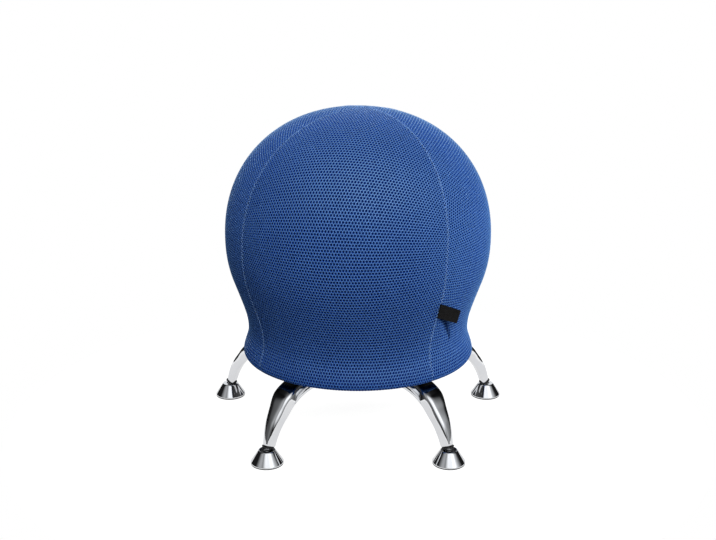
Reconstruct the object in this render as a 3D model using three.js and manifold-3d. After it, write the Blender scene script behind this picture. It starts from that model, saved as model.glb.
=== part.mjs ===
// Ball chair: an inflated exercise ball in a stretched mesh cover, cradled by a moulded pan on a
// steel hub, with five arched chrome legs on swivelling cone feet. Millimetres, +Z up, the floor
// is Z = 0, the chair's front is -Y, and the origin is under the middle of the feet's footprint.
import * as THREE from 'three';
import Module from 'manifold-3d';
import { mergeVertices } from 'three/addons/utils/BufferGeometryUtils.js';

const wasm = await Module();
wasm.setup();

// Driving dimensions of the whole chair
const SEAT_TOP_HEIGHT = 555.5;
const FOOT_CIRCLE_RADIUS = 254;
const LEG_COUNT = 5;
const FRONT_LEG_ANGLE = 36;
const FIT_GAP = 0.3;
const CUT_OVERRUN = 2;

// Ball: a soft shell, flattened by the cover that is pulled down over it
const BALL_RADIUS = 225;
const BALL_WALL = 2.5;
const BALL_CENTRE_HEIGHT = 335.5;
const BALL_ROUNDNESS = 2.15;
const VALVE_BOSS_RADIUS = 12;
const VALVE_BOSS_HEIGHT = 9;
const VALVE_HOLE_RADIUS = 4.7;
const VALVE_HEAD_RADIUS = 7.5;
const VALVE_HEAD_HEIGHT = 2;
const VALVE_TIP_TAPER = 0.8;
const VALVE_TIP_BEVEL = 2;

// Cover: three-dimensional mesh that leaves the ball, draws in to a waist and turns round a cord
const COVER_WALL = 4.5;
const COVER_LEAVES_BALL_HEIGHT = 262.5;
const WAIST_RADIUS = 194;
const WAIST_HEIGHT = 171.5;
const WAIST_UPPER_PULL = 27;
const WAIST_LOWER_PULL = 16;
const SKIRT_UPPER_PULL = 45;
const SKIRT_LOWER_PULL = 12;
const HEM_CLOTH = 2.1;
const HEM_CORD_RADIUS = 3;
const HEM_RADIUS = 198.2;
const HEM_HEIGHT = 129.8;
const HEM_WRAP_ANGLE = 260;

// Label: a folded ribbon tab sewn into a seam of the cover
const LABEL_LENGTH = 44;
const LABEL_HEIGHT = 27;
const LABEL_PLY = 0.6;
const LABEL_FOLD_GAP = 0.6;
const LABEL_SEAM_ANGLE = 37.3;
const LABEL_SEAM_HEIGHT = 252;
const LABEL_DROOP = 25.6;
const LABEL_LEAN_OUT = 7;
const LABEL_STANDS_OFF = 0.45;

// Pan: one moulding that is a cradle for the ball, a flange for the hem, ribs and screw bosses
const PAN_WALL = 3.5;
const PAN_HOLE_RADIUS = 26;
const PAN_PLATE_RADIUS = 165;
const CRADLE_RADIUS = 150;
const FLANGE_ROOT_RADIUS = 174;
const FLANGE_RADIUS = 195.3;
const FLANGE_STEP = 5.3;
const RIB_THICKNESS = 3;
const RIBS_PER_LEG = 3;
const RIB_PITCH_ANGLE = 18;
const RIB_INNER_RADIUS = 104;
const RIB_FOOT_RADIUS = 188;
const RIB_SET_BACK = 5;
const NUT_WINDOW_RADIUS = 10;
const BOSS_RADIUS = 6;
const BOSS_HEIGHT = 12;

// Hub: a steel plate with weld nuts
const HUB_THICKNESS = 4;
const HUB_RADIUS = 160;
const HUB_HOLE_RADIUS = 25;
const HUB_EDGE_BEVEL = 0.8;
const NUT_ACROSS_FLATS = 13;
const NUT_HEIGHT = 6.5;

// Legs: cast arches of tapering oval section
const LEG_ROOT_RADIUS = 92;
const LEG_ROOT_WIDTH = 40;
const LEG_ROOT_THICKNESS = 23;
const LEG_TIP_WIDTH = 19;
const LEG_TIP_THICKNESS = 15.6;
const LEG_PAD_TRIM = 1;
const LEG_END_ROUND = 1.4;
const LEG_TAPER_LENGTH = 84;
const LEG_ROOT_SQUARENESS = 4.5;
const LEG_TIP_SQUARENESS = 2.8;
const LEG_TOP_NARROWS_SHARE = 0.34;
const LEG_TIP_STRAIGHT = 20.4;
const LEG_PATH_RUN_SHARES = [0, 0.24, 0.44, 0.603, 0.735, 0.829, 0.911];
const LEG_PATH_DROP_SHARES = [0, 0, 0.022, 0.076, 0.184, 0.383, 0.586];

// Fasteners
const LEG_BOLT_RADII = [112, 146];
const BOLT_RADIUS = 4;
const BOLT_HEAD_RADIUS = 6.5;
const BOLT_HEAD_HEIGHT = 8;
const BOLT_SOCKET_ACROSS_FLATS = 6;
const BOLT_SOCKET_DEPTH = 4;
const BOLT_SHANK_LENGTH = 24.5;
const BOLT_RECESS_DEPTH = 13;
const BOLT_RECESS_RADIUS = 7.2;
const PAN_SCREW_CIRCLE_RADIUS = 138;
const PAN_SCREW_RADIUS = 2;
const PAN_SCREW_HEAD_RADIUS = 4.8;
const PAN_SCREW_HEAD_HEIGHT = 2.8;
const PAN_SCREW_LENGTH = 15;
const PAN_SCREW_DRIVE_WIDTH = 1.4;
const PAN_SCREW_DRIVE_LENGTH = 5.6;
const PAN_SCREW_DRIVE_DEPTH = 1.5;

// Feet: a chrome cone that turns on the ball end of a stud, with a pad let into its base
const STUD_LEAN_ANGLE = 14;
const STUD_RADIUS = 4;
const STUD_DEPTH_IN_LEG = 22;
const STUD_TIP_BEVEL = 1;
const STUD_BALL_RADIUS = 7.5;
const STUD_BALL_HEIGHT = 17.1;
const LEG_STANDS_OFF_BALL = 12.7;
const COLLAR_RADIUS = 10.2;
const COLLAR_HEIGHT = 2.8;
const COLLAR_BEVEL = 1.8;
const CONE_HEIGHT = 23.8;
const CONE_BASE_RADIUS = 27.3;
const CONE_TOP_RADIUS = 14.6;
const CONE_LIP_HEIGHT = 1.7;
const CONE_SHOULDER = 1.2;
const CONE_MOUTH_RADIUS = 6.9;
const CONE_SHOWS_PAD = 1.8;
const PAD_RADIUS = 24.4;
const PAD_THICKNESS = 3.4;
const PAD_BEVEL = 0.8;

// Facets round each kind of piece
const SEAT_SEGMENTS = 34;
const COVER_OUTER_STEPS = 8;
const COVER_INNER_STEPS = 6;
const BALL_SIDE_STEPS = 2;
const CRADLE_STEPS = 3;
const SKIRT_UPPER_STEPS = 3;
const SKIRT_LOWER_STEPS = 2;
const HEM_OUTER_STEPS = 5;
const HEM_INNER_STEPS = 6;
const CORD_STEPS = 6;
const LEG_STATIONS = 16;
const LEG_SECTION_POINTS = 16;
const BOLT_SEGMENTS = 10;
const BORE_SEGMENTS = 12;
const FOOT_SEGMENTS = 24;
const STUD_SEGMENTS = 12;
const STUD_BALL_STEPS = 6;
const LABEL_FOLD_STEPS = 4;

// Heights that follow from the sizes above
const BALL_TOP_SEMI_AXIS = SEAT_TOP_HEIGHT - COVER_WALL - FIT_GAP - BALL_CENTRE_HEIGHT;
const HEM_OUTER_WRAP = HEM_CORD_RADIUS + FIT_GAP + HEM_CLOTH;
const FLANGE_HEIGHT = HEM_HEIGHT + HEM_OUTER_WRAP + FIT_GAP;
const PAN_PLATE_HEIGHT = FLANGE_HEIGHT - FLANGE_STEP;
const HUB_TOP_HEIGHT = PAN_PLATE_HEIGHT - FIT_GAP;
const HUB_UNDERSIDE_HEIGHT = HUB_TOP_HEIGHT - HUB_THICKNESS;
const LEG_SEAT_HEIGHT = HUB_UNDERSIDE_HEIGHT - FIT_GAP;
const BALL_BOTTOM_HEIGHT = PAN_PLATE_HEIGHT + PAN_WALL + FIT_GAP;
const BALL_LOW_SEMI_AXIS = BALL_CENTRE_HEIGHT - BALL_BOTTOM_HEIGHT;
const STUD_LEAN = THREE.MathUtils.degToRad(STUD_LEAN_ANGLE);

// Radians between the two points that give an outline's slope
const SLOPE_STEP_SHARE = 0.01;

const COLOURS = {
  cover: 0x33527d,
  label: 0x121317,
  cord: 0x1b1c20,
  ball: 0x6f747b,
  rubber: 0x16171a,
  plastic: 0x1d1e21,
  steel: 0x2a2b2e,
  chrome: 0xd8dbe0,
  zinc: 0xaeb2b8,
};

function finish(colour, roughness, metalness) {
  return new THREE.MeshStandardMaterial({ color: colour, roughness, metalness });
}

function radiansOf(degrees) {
  return THREE.MathUtils.degToRad(degrees);
}

// Azimuth is measured from the front, -Y, and grows towards +X
function atAzimuth(radius, angle, height) {
  const turn = radiansOf(angle);
  return new THREE.Vector3(radius * Math.sin(turn), -radius * Math.cos(turn), height);
}

function legAngle(index) {
  return FRONT_LEG_ANGLE + (index * 360) / LEG_COUNT;
}

// A closed body from any closed geometry, with its faces turned outwards
function solidOf(geometry) {
  const plain = geometry.clone();
  plain.deleteAttribute('normal');
  plain.deleteAttribute('uv');
  const merged = mergeVertices(plain);
  const points = merged.attributes.position.array;
  const corners = Array.from(merged.index.array);
  const triangles = [];
  for (let i = 0; i < corners.length; i += 3) {
    const [a, b, c] = corners.slice(i, i + 3);
    if (a !== b && b !== c && c !== a) {
      triangles.push([a, b, c]);
    }
  }
  let volume = 0;
  for (const triangle of triangles) {
    const [p, q, r] = triangle.map((k) => new THREE.Vector3().fromArray(points, k * 3));
    volume += p.dot(q.cross(r));
  }
  const outward = volume > 0 ? triangles : triangles.map(([a, b, c]) => [a, c, b]);
  return new wasm.Manifold(new wasm.Mesh({
    numProp: 3,
    vertProperties: Float32Array.from(points),
    triVerts: Uint32Array.from(outward.flat()),
  }));
}

function geometryOf(solid) {
  const mesh = solid.getMesh();
  const geometry = new THREE.BufferGeometry();
  geometry.setAttribute('position', new THREE.BufferAttribute(Float32Array.from(mesh.vertProperties), 3));
  geometry.setIndex(Array.from(mesh.triVerts));
  geometry.computeVertexNormals();
  return geometry;
}

// A revolved body about +Z. The profile is a list of [radius, height] and closes on itself
function revolved(profile, segments) {
  const points = profile.map(([radius, height]) => new THREE.Vector2(radius, height));
  points.push(points[0].clone());
  return solidOf(new THREE.LatheGeometry(points, segments).rotateX(Math.PI / 2));
}

// A round bar along +Z between two heights
function bar(radius, low, high, segments) {
  const height = high - low;
  const geometry = new THREE.CylinderGeometry(radius, radius, height, segments);
  return solidOf(geometry.rotateX(Math.PI / 2).translate(0, 0, low + height / 2));
}

function hexagon(acrossFlats, low, high) {
  return bar(acrossFlats / 2 / Math.cos(Math.PI / 6), low, high, 6);
}

// Moves a solid that was made on the Z axis out to a radius and an azimuth, front at -Y
function placed(solid, radius, angle) {
  const geometry = geometryOf(solid).translate(0, -radius, 0).rotateZ(radiansOf(angle));
  return solidOf(geometry);
}

// The flattened ball's outline in [radius, height], grown by an offset, at an angle from its top
function ballOutline(offset, angle) {
  const power = 2 / BALL_ROUNDNESS;
  const semiAxis = angle < Math.PI / 2 ? BALL_TOP_SEMI_AXIS : BALL_LOW_SEMI_AXIS;
  const across = Math.abs(Math.sin(angle)) ** power;
  const along = Math.abs(Math.cos(angle)) ** power;
  return [
    (BALL_RADIUS + offset) * across,
    BALL_CENTRE_HEIGHT + (semiAxis + offset) * along * Math.sign(Math.cos(angle)),
  ];
}

// The underside's height at a radius, for the same outline
function ballUnderside(offset, radius) {
  const across = radius / (BALL_RADIUS + offset);
  const along = (1 - across ** BALL_ROUNDNESS) ** (1 / BALL_ROUNDNESS);
  return BALL_CENTRE_HEIGHT - (BALL_LOW_SEMI_AXIS + offset) * along;
}

function ballAngleAtRadius(offset, radius) {
  const across = (radius / (BALL_RADIUS + offset)) ** (BALL_ROUNDNESS / 2);
  return Math.PI - Math.asin(across);
}

function ballAngleAtHeight(offset, height) {
  const along = ((BALL_CENTRE_HEIGHT - height) / (BALL_LOW_SEMI_AXIS + offset)) ** (BALL_ROUNDNESS / 2);
  return Math.PI - Math.acos(along);
}

// The angles at which the ball, the cover's inside and the cradle all have a ring of points, so
// that their facets lie side by side
function coveredAngles() {
  return spread(0, ballAngleAtHeight(FIT_GAP, COVER_LEAVES_BALL_HEIGHT), COVER_INNER_STEPS, (angle) => angle);
}

function cradledAngles() {
  const lip = ballAngleAtRadius(FIT_GAP, CRADLE_RADIUS);
  return spread(lip, ballAngleAtRadius(FIT_GAP, PAN_HOLE_RADIUS), CRADLE_STEPS, (angle) => angle);
}

function ballAngles() {
  const covered = coveredAngles();
  const cradled = cradledAngles();
  const bare = spread(covered[covered.length - 1], cradled[0], BALL_SIDE_STEPS, (angle) => angle);
  return [...covered, ...bare.slice(1, -1), ...cradled, Math.PI];
}

function spread(from, to, steps, point) {
  const list = [];
  for (let i = 0; i <= steps; i += 1) {
    list.push(point(from + ((to - from) * i) / steps));
  }
  return list;
}

function bezier(points, steps) {
  const vectors = points.map(([radius, height]) => new THREE.Vector2(radius, height));
  const curve = new THREE.CubicBezierCurve(...vectors);
  return curve.getPoints(steps).map((point) => [point.x, point.y]);
}

function arc(centreRadius, centreHeight, radius, fromAngle, toAngle, steps) {
  return spread(fromAngle, toAngle, steps, (angle) => [
    centreRadius + radius * Math.cos(radiansOf(angle)),
    centreHeight + radius * Math.sin(radiansOf(angle)),
  ]);
}

// The skirt's outline below the ball: down to the waist, then out to the hem, both offset inwards
function skirtOutline(inset, hemRadius) {
  const offset = COVER_WALL + FIT_GAP - inset;
  const start = ballAngleAtHeight(offset, COVER_LEAVES_BALL_HEIGHT);
  const [leaveRadius, leaveHeight] = ballOutline(offset, start);
  const [nextRadius, nextHeight] = ballOutline(offset, start + SLOPE_STEP_SHARE);
  const slope = (leaveRadius - nextRadius) / (leaveHeight - nextHeight);
  const waist = WAIST_RADIUS - inset;
  const upper = bezier([
    [leaveRadius, leaveHeight],
    [leaveRadius - slope * SKIRT_UPPER_PULL, leaveHeight - SKIRT_UPPER_PULL],
    [waist, WAIST_HEIGHT + WAIST_UPPER_PULL],
    [waist, WAIST_HEIGHT],
  ], SKIRT_UPPER_STEPS);
  const lower = bezier([
    [waist, WAIST_HEIGHT],
    [waist, WAIST_HEIGHT - WAIST_LOWER_PULL],
    [hemRadius, HEM_HEIGHT + SKIRT_LOWER_PULL],
    [hemRadius, HEM_HEIGHT],
  ], SKIRT_LOWER_STEPS);
  return { start, points: upper.concat(lower.slice(1)) };
}

// The cover's outside from its top down to the level of the hem cord
function coverOutline() {
  const skirt = skirtOutline(0, HEM_RADIUS + HEM_OUTER_WRAP);
  const top = spread(0, skirt.start, COVER_OUTER_STEPS, (a) => ballOutline(COVER_WALL + FIT_GAP, a));
  return top.concat(skirt.points.slice(1));
}

// The radius of the cover's outside at a height, and how far it leans in towards the floor there
function coverAtHeight(height) {
  const outline = coverOutline();
  const below = outline.findIndex((point) => point[1] <= height);
  const [upperRadius, upperHeight] = outline[below - 1];
  const [lowerRadius, lowerHeight] = outline[below];
  const share = (upperHeight - height) / (upperHeight - lowerHeight);
  return {
    radius: THREE.MathUtils.lerp(upperRadius, lowerRadius, share),
    lean: Math.atan2(upperRadius - lowerRadius, upperHeight - lowerHeight),
  };
}

function coverSolid() {
  const innerWrap = HEM_CORD_RADIUS + FIT_GAP;
  const inner = skirtOutline(COVER_WALL, HEM_RADIUS + innerWrap);
  const innerTop = coveredAngles().map((angle) => ballOutline(FIT_GAP, angle));
  const outerRoll = arc(HEM_RADIUS, HEM_HEIGHT, HEM_OUTER_WRAP, 0, -HEM_WRAP_ANGLE, HEM_OUTER_STEPS);
  const innerRoll = arc(HEM_RADIUS, HEM_HEIGHT, innerWrap, 0, -HEM_WRAP_ANGLE, HEM_INNER_STEPS);
  const outside = coverOutline().concat(outerRoll.slice(1));
  const inside = innerTop.concat(inner.points.slice(1), innerRoll.slice(1));
  return revolved(outside.concat(inside.reverse()), SEAT_SEGMENTS);
}

function ballSolid() {
  const outside = ballAngles().map((angle) => ballOutline(0, angle));
  const inside = ballAngles().map((angle) => ballOutline(-BALL_WALL, angle));
  const shell = revolved(outside, SEAT_SEGMENTS).subtract(revolved(inside, SEAT_SEGMENTS));
  const floor = BALL_BOTTOM_HEIGHT;
  const boss = bar(VALVE_BOSS_RADIUS, floor + BALL_WALL / 2, floor + VALVE_BOSS_HEIGHT, BORE_SEGMENTS);
  const hole = bar(VALVE_HOLE_RADIUS, floor - CUT_OVERRUN, floor + VALVE_BOSS_HEIGHT + CUT_OVERRUN, BORE_SEGMENTS);
  return shell.add(boss).subtract(hole);
}

function valvePlugSolid() {
  const seat = BALL_BOTTOM_HEIGHT - FIT_GAP;
  const stem = VALVE_HOLE_RADIUS - FIT_GAP;
  const tip = BALL_BOTTOM_HEIGHT + VALVE_BOSS_HEIGHT + VALVE_TIP_BEVEL;
  return revolved([
    [0, seat - VALVE_HEAD_HEIGHT],
    [VALVE_HEAD_RADIUS, seat - VALVE_HEAD_HEIGHT],
    [VALVE_HEAD_RADIUS, seat],
    [stem, seat],
    [stem, tip - VALVE_TIP_BEVEL],
    [stem - VALVE_TIP_TAPER, tip],
    [0, tip],
  ], BORE_SEGMENTS);
}

function hemCordSolid() {
  const ring = arc(HEM_RADIUS, HEM_HEIGHT, HEM_CORD_RADIUS, 0, 360, CORD_STEPS).slice(0, -1);
  return revolved(ring, SEAT_SEGMENTS);
}

// A folded ribbon: two plies with a round fold at the free end, drawn flat, slanted so that it droops
// while its sewn edge stays on the seam, and hung there
function labelSolid() {
  const outerTurn = LABEL_PLY + LABEL_FOLD_GAP / 2;
  const innerTurn = LABEL_FOLD_GAP / 2;
  const bend = LABEL_LENGTH - outerTurn;
  const fold = arc(bend, 0, outerTurn, -90, 90, LABEL_FOLD_STEPS);
  const hollow = arc(bend, 0, innerTurn, 90, -90, LABEL_FOLD_STEPS);
  const outline = [[0, -outerTurn], ...fold, [0, outerTurn], [0, innerTurn], ...hollow, [0, -innerTurn]];
  const shape = new THREE.Shape(outline.map(([x, y]) => new THREE.Vector2(x, y)));
  const ribbon = new THREE.ExtrudeGeometry(shape, { depth: LABEL_HEIGHT, bevelEnabled: false });
  ribbon.translate(0, 0, -LABEL_HEIGHT / 2);
  const cover = coverAtHeight(LABEL_SEAM_HEIGHT);
  const fall = Math.tan(radiansOf(LABEL_DROOP));
  ribbon.applyMatrix4(new THREE.Matrix4().makeShear(0, -fall, 0, 0, 0, 0));
  ribbon.rotateX(cover.lean);
  ribbon.rotateZ(radiansOf(LABEL_SEAM_ANGLE - LABEL_LEAN_OUT));
  const facetRadius = cover.radius * Math.cos(Math.PI / SEAT_SEGMENTS);
  const root = atAzimuth(facetRadius + outerTurn + LABEL_STANDS_OFF, LABEL_SEAM_ANGLE, LABEL_SEAM_HEIGHT);
  return solidOf(ribbon.translate(root.x, root.y, root.z));
}

// The cradle follows the ball's underside, and the plate and the flange run out from its foot
function panShell() {
  const inside = cradledAngles().map((angle) => ballOutline(FIT_GAP, angle));
  const outside = cradledAngles().map((angle) => ballOutline(FIT_GAP + PAN_WALL, angle));
  const bowl = revolved(inside.concat(outside.reverse()), SEAT_SEGMENTS);
  const plateTop = PAN_PLATE_HEIGHT + PAN_WALL;
  const flangeTop = FLANGE_HEIGHT + PAN_WALL;
  const disc = revolved([
    [PAN_HOLE_RADIUS, PAN_PLATE_HEIGHT],
    [PAN_PLATE_RADIUS, PAN_PLATE_HEIGHT],
    [FLANGE_ROOT_RADIUS, FLANGE_HEIGHT],
    [FLANGE_RADIUS, FLANGE_HEIGHT],
    [FLANGE_RADIUS, flangeTop],
    [FLANGE_ROOT_RADIUS - PAN_WALL / 2, flangeTop],
    [PAN_PLATE_RADIUS - PAN_WALL / 2, plateTop],
    [PAN_HOLE_RADIUS, plateTop],
  ], SEAT_SEGMENTS);
  return { bowl, disc };
}

// An upright web that stands on the plate and flange and carries the cradle's wall
function panRib(angle) {
  const wallMiddle = FIT_GAP + PAN_WALL / 2;
  const plateMiddle = PAN_PLATE_HEIGHT + PAN_WALL / 2;
  const flangeMiddle = FLANGE_HEIGHT + PAN_WALL / 2;
  const lip = CRADLE_RADIUS - RIB_SET_BACK;
  const along = spread(lip, RIB_INNER_RADIUS, CRADLE_STEPS, (r) => [r, ballUnderside(wallMiddle, r)]);
  const outline = [
    [RIB_INNER_RADIUS, plateMiddle],
    [PAN_PLATE_RADIUS, plateMiddle],
    [FLANGE_ROOT_RADIUS, flangeMiddle],
    [RIB_FOOT_RADIUS, flangeMiddle],
    [RIB_FOOT_RADIUS, FLANGE_HEIGHT + PAN_WALL],
    ...along,
  ];
  const shape = new THREE.Shape(outline.map(([x, y]) => new THREE.Vector2(x, y)));
  const web = new THREE.ExtrudeGeometry(shape, { depth: RIB_THICKNESS, bevelEnabled: false });
  web.translate(0, 0, -RIB_THICKNESS / 2).rotateX(Math.PI / 2).rotateZ(radiansOf(angle - 90));
  return solidOf(web);
}

function panSolid() {
  const { bowl, disc } = panShell();
  let pan = bowl.add(disc);
  const bossFoot = PAN_PLATE_HEIGHT + PAN_WALL / 2;
  const bossTop = PAN_PLATE_HEIGHT + PAN_WALL + BOSS_HEIGHT;
  const pilot = bar(PAN_SCREW_RADIUS + FIT_GAP, PAN_PLATE_HEIGHT - CUT_OVERRUN, bossTop - PAN_WALL / 2,
    BOLT_SEGMENTS);
  const window = bar(NUT_WINDOW_RADIUS, PAN_PLATE_HEIGHT - CUT_OVERRUN,
    PAN_PLATE_HEIGHT + PAN_WALL + CUT_OVERRUN, BORE_SEGMENTS);
  for (let leg = 0; leg < LEG_COUNT; leg += 1) {
    for (let rib = 1; rib <= RIBS_PER_LEG; rib += 1) {
      pan = pan.add(panRib(legAngle(leg) + rib * RIB_PITCH_ANGLE));
    }
    const boss = bar(BOSS_RADIUS, bossFoot, bossTop, BOLT_SEGMENTS);
    pan = pan.add(placed(boss, PAN_SCREW_CIRCLE_RADIUS, screwAngle(leg)));
  }
  for (let leg = 0; leg < LEG_COUNT; leg += 1) {
    pan = pan.subtract(placed(pilot, PAN_SCREW_CIRCLE_RADIUS, screwAngle(leg)));
    for (const radius of LEG_BOLT_RADII) {
      pan = pan.subtract(placed(window, radius, legAngle(leg)));
    }
  }
  return pan;
}

function screwAngle(leg) {
  return legAngle(leg) + 180 / LEG_COUNT;
}

// The steel disc with its weld nuts, drilled through for the leg bolts and the pan screws
function hubSolid() {
  let hub = revolved([
    [HUB_HOLE_RADIUS, HUB_UNDERSIDE_HEIGHT],
    [HUB_RADIUS - HUB_EDGE_BEVEL, HUB_UNDERSIDE_HEIGHT],
    [HUB_RADIUS, HUB_UNDERSIDE_HEIGHT + HUB_EDGE_BEVEL],
    [HUB_RADIUS, HUB_TOP_HEIGHT - HUB_EDGE_BEVEL],
    [HUB_RADIUS - HUB_EDGE_BEVEL, HUB_TOP_HEIGHT],
    [HUB_HOLE_RADIUS, HUB_TOP_HEIGHT],
  ], SEAT_SEGMENTS);
  const nutFoot = HUB_TOP_HEIGHT - HUB_THICKNESS / 2;
  const nut = hexagon(NUT_ACROSS_FLATS, nutFoot, HUB_TOP_HEIGHT + NUT_HEIGHT);
  const bore = bar(BOLT_RADIUS + FIT_GAP, HUB_UNDERSIDE_HEIGHT - CUT_OVERRUN,
    HUB_TOP_HEIGHT + NUT_HEIGHT + CUT_OVERRUN, BOLT_SEGMENTS);
  const screwHole = bar(PAN_SCREW_RADIUS + FIT_GAP, HUB_UNDERSIDE_HEIGHT - CUT_OVERRUN,
    HUB_TOP_HEIGHT + CUT_OVERRUN, BOLT_SEGMENTS);
  for (let leg = 0; leg < LEG_COUNT; leg += 1) {
    for (const radius of LEG_BOLT_RADII) {
      hub = hub.add(placed(nut, radius, legAngle(leg)));
      hub = hub.subtract(placed(bore, radius, legAngle(leg)));
    }
    hub = hub.subtract(placed(screwHole, PAN_SCREW_CIRCLE_RADIUS, screwAngle(leg)));
  }
  return hub;
}

// The leg's centre line in the plane x = 0: an arch from the hub out and down, and a straight
// stretch at its tip that is in line with the stud
function legPath() {
  const rootHeight = LEG_SEAT_HEIGHT + LEG_PAD_TRIM - LEG_ROOT_THICKNESS / 2;
  const tipRadius = FOOT_CIRCLE_RADIUS - LEG_STANDS_OFF_BALL * Math.sin(STUD_LEAN);
  const tipHeight = STUD_BALL_HEIGHT + LEG_STANDS_OFF_BALL * Math.cos(STUD_LEAN);
  const run = tipRadius - LEG_ROOT_RADIUS;
  const drop = rootHeight - tipHeight;
  const points = LEG_PATH_RUN_SHARES.map((share, i) => new THREE.Vector3(
    0,
    -(LEG_ROOT_RADIUS + run * share),
    rootHeight - drop * LEG_PATH_DROP_SHARES[i],
  ));
  const tip = new THREE.Vector3(0, -tipRadius, tipHeight);
  const upTheStud = new THREE.Vector3(0, Math.sin(STUD_LEAN), Math.cos(STUD_LEAN));
  points.push(tip.clone().addScaledVector(upTheStud, LEG_TIP_STRAIGHT), tip);
  return new THREE.CatmullRomCurve3(points, false, 'centripetal');
}

// One ring of an oval section, squarer towards the hub and narrower along its top than underneath
function legRing(centre, across, normal, width, thickness, squareness) {
  const ring = [];
  for (let i = 0; i < LEG_SECTION_POINTS; i += 1) {
    const turn = ((i + 0.5) / LEG_SECTION_POINTS) * Math.PI * 2;
    const cosine = Math.cos(turn);
    const sine = Math.sin(turn);
    const side = Math.sign(cosine) * Math.abs(cosine) ** (2 / squareness);
    const rise = Math.sign(sine) * Math.abs(sine) ** (2 / squareness);
    const x = (width / 2) * side * (1 - LEG_TOP_NARROWS_SHARE * rise);
    ring.push(centre.clone().addScaledVector(across, x).addScaledVector(normal, (thickness / 2) * rise));
  }
  return ring;
}

// A closed skin through a list of rings with a flat cap on each end
function lofted(rings) {
  const count = rings[0].length;
  const vertices = rings.flat();
  const faces = [];
  for (let r = 0; r + 1 < rings.length; r += 1) {
    for (let i = 0; i < count; i += 1) {
      const a = r * count + i;
      const b = r * count + ((i + 1) % count);
      faces.push(a, b, b + count, a, b + count, a + count);
    }
  }
  for (const [first, flip] of [[0, true], [(rings.length - 1) * count, false]]) {
    for (let i = 1; i + 1 < count; i += 1) {
      faces.push(first, first + i + (flip ? 1 : 0), first + i + (flip ? 0 : 1));
    }
  }
  const geometry = new THREE.BufferGeometry();
  geometry.setAttribute('position', new THREE.Float32BufferAttribute(vertices.flatMap((v) => v.toArray()), 3));
  geometry.setIndex(faces);
  return solidOf(geometry);
}

// The stud's own line, from its ball end up into the leg, is turned from the vertical by its lean
function alongStud(solid) {
  const geometry = geometryOf(solid).rotateX(-STUD_LEAN);
  return solidOf(geometry.translate(0, -FOOT_CIRCLE_RADIUS, STUD_BALL_HEIGHT));
}

function legSolid() {
  const path = legPath();
  const length = path.getLength();
  const across = new THREE.Vector3(1, 0, 0);
  const rings = [];
  for (let i = 0; i <= LEG_STATIONS; i += 1) {
    const roundShare = LEG_END_ROUND / length;
    const share = THREE.MathUtils.clamp((i - 1) / (LEG_STATIONS - 2), 0, 1);
    const place = i === 0 || i === LEG_STATIONS ? share : roundShare + share * (1 - 2 * roundShare);
    const toTip = Math.min(1, ((1 - place) * length) / LEG_TAPER_LENGTH);
    const shrink = i === 0 || i === LEG_STATIONS ? LEG_END_ROUND * 2 : 0;
    const tangent = path.getTangentAt(place);
    const normal = new THREE.Vector3().crossVectors(tangent, across).normalize();
    rings.push(legRing(
      path.getPointAt(place),
      across,
      normal,
      THREE.MathUtils.lerp(LEG_TIP_WIDTH, LEG_ROOT_WIDTH, toTip) - shrink,
      THREE.MathUtils.lerp(LEG_TIP_THICKNESS, LEG_ROOT_THICKNESS, toTip) - shrink,
      THREE.MathUtils.lerp(LEG_TIP_SQUARENESS, LEG_ROOT_SQUARENESS, toTip ** 2),
    ));
  }
  let leg = lofted(rings);
  const above = LEG_SEAT_HEIGHT + LEG_ROOT_THICKNESS;
  const waste = new THREE.BoxGeometry(LEG_ROOT_WIDTH * 2, FOOT_CIRCLE_RADIUS * 2, LEG_ROOT_THICKNESS);
  waste.translate(0, 0, above - LEG_ROOT_THICKNESS / 2);
  leg = leg.subtract(solidOf(waste));
  const underneath = LEG_SEAT_HEIGHT - LEG_ROOT_THICKNESS - CUT_OVERRUN;
  const recess = bar(BOLT_RECESS_RADIUS, underneath, LEG_SEAT_HEIGHT - BOLT_RECESS_DEPTH, BORE_SEGMENTS);
  const bore = bar(BOLT_RADIUS + FIT_GAP, underneath, LEG_SEAT_HEIGHT + CUT_OVERRUN, BOLT_SEGMENTS);
  for (const radius of LEG_BOLT_RADII) {
    leg = leg.subtract(placed(recess.add(bore), radius, 0));
  }
  const studBore = bar(STUD_RADIUS + FIT_GAP, STUD_BALL_RADIUS,
    LEG_STANDS_OFF_BALL + STUD_DEPTH_IN_LEG + FIT_GAP, STUD_SEGMENTS);
  return leg.subtract(alongStud(studBore));
}

// A socket-head bolt, head down, made on the Z axis with the underside of its head at a height
function legBoltSolid() {
  const seat = LEG_SEAT_HEIGHT - BOLT_RECESS_DEPTH - FIT_GAP;
  const shank = bar(BOLT_RADIUS, seat - BOLT_HEAD_HEIGHT / 2, seat + BOLT_SHANK_LENGTH, BOLT_SEGMENTS);
  const head = bar(BOLT_HEAD_RADIUS, seat - BOLT_HEAD_HEIGHT, seat, BOLT_SEGMENTS);
  const socket = hexagon(BOLT_SOCKET_ACROSS_FLATS, seat - BOLT_HEAD_HEIGHT - CUT_OVERRUN,
    seat - BOLT_HEAD_HEIGHT + BOLT_SOCKET_DEPTH);
  return head.add(shank).subtract(socket);
}

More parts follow.
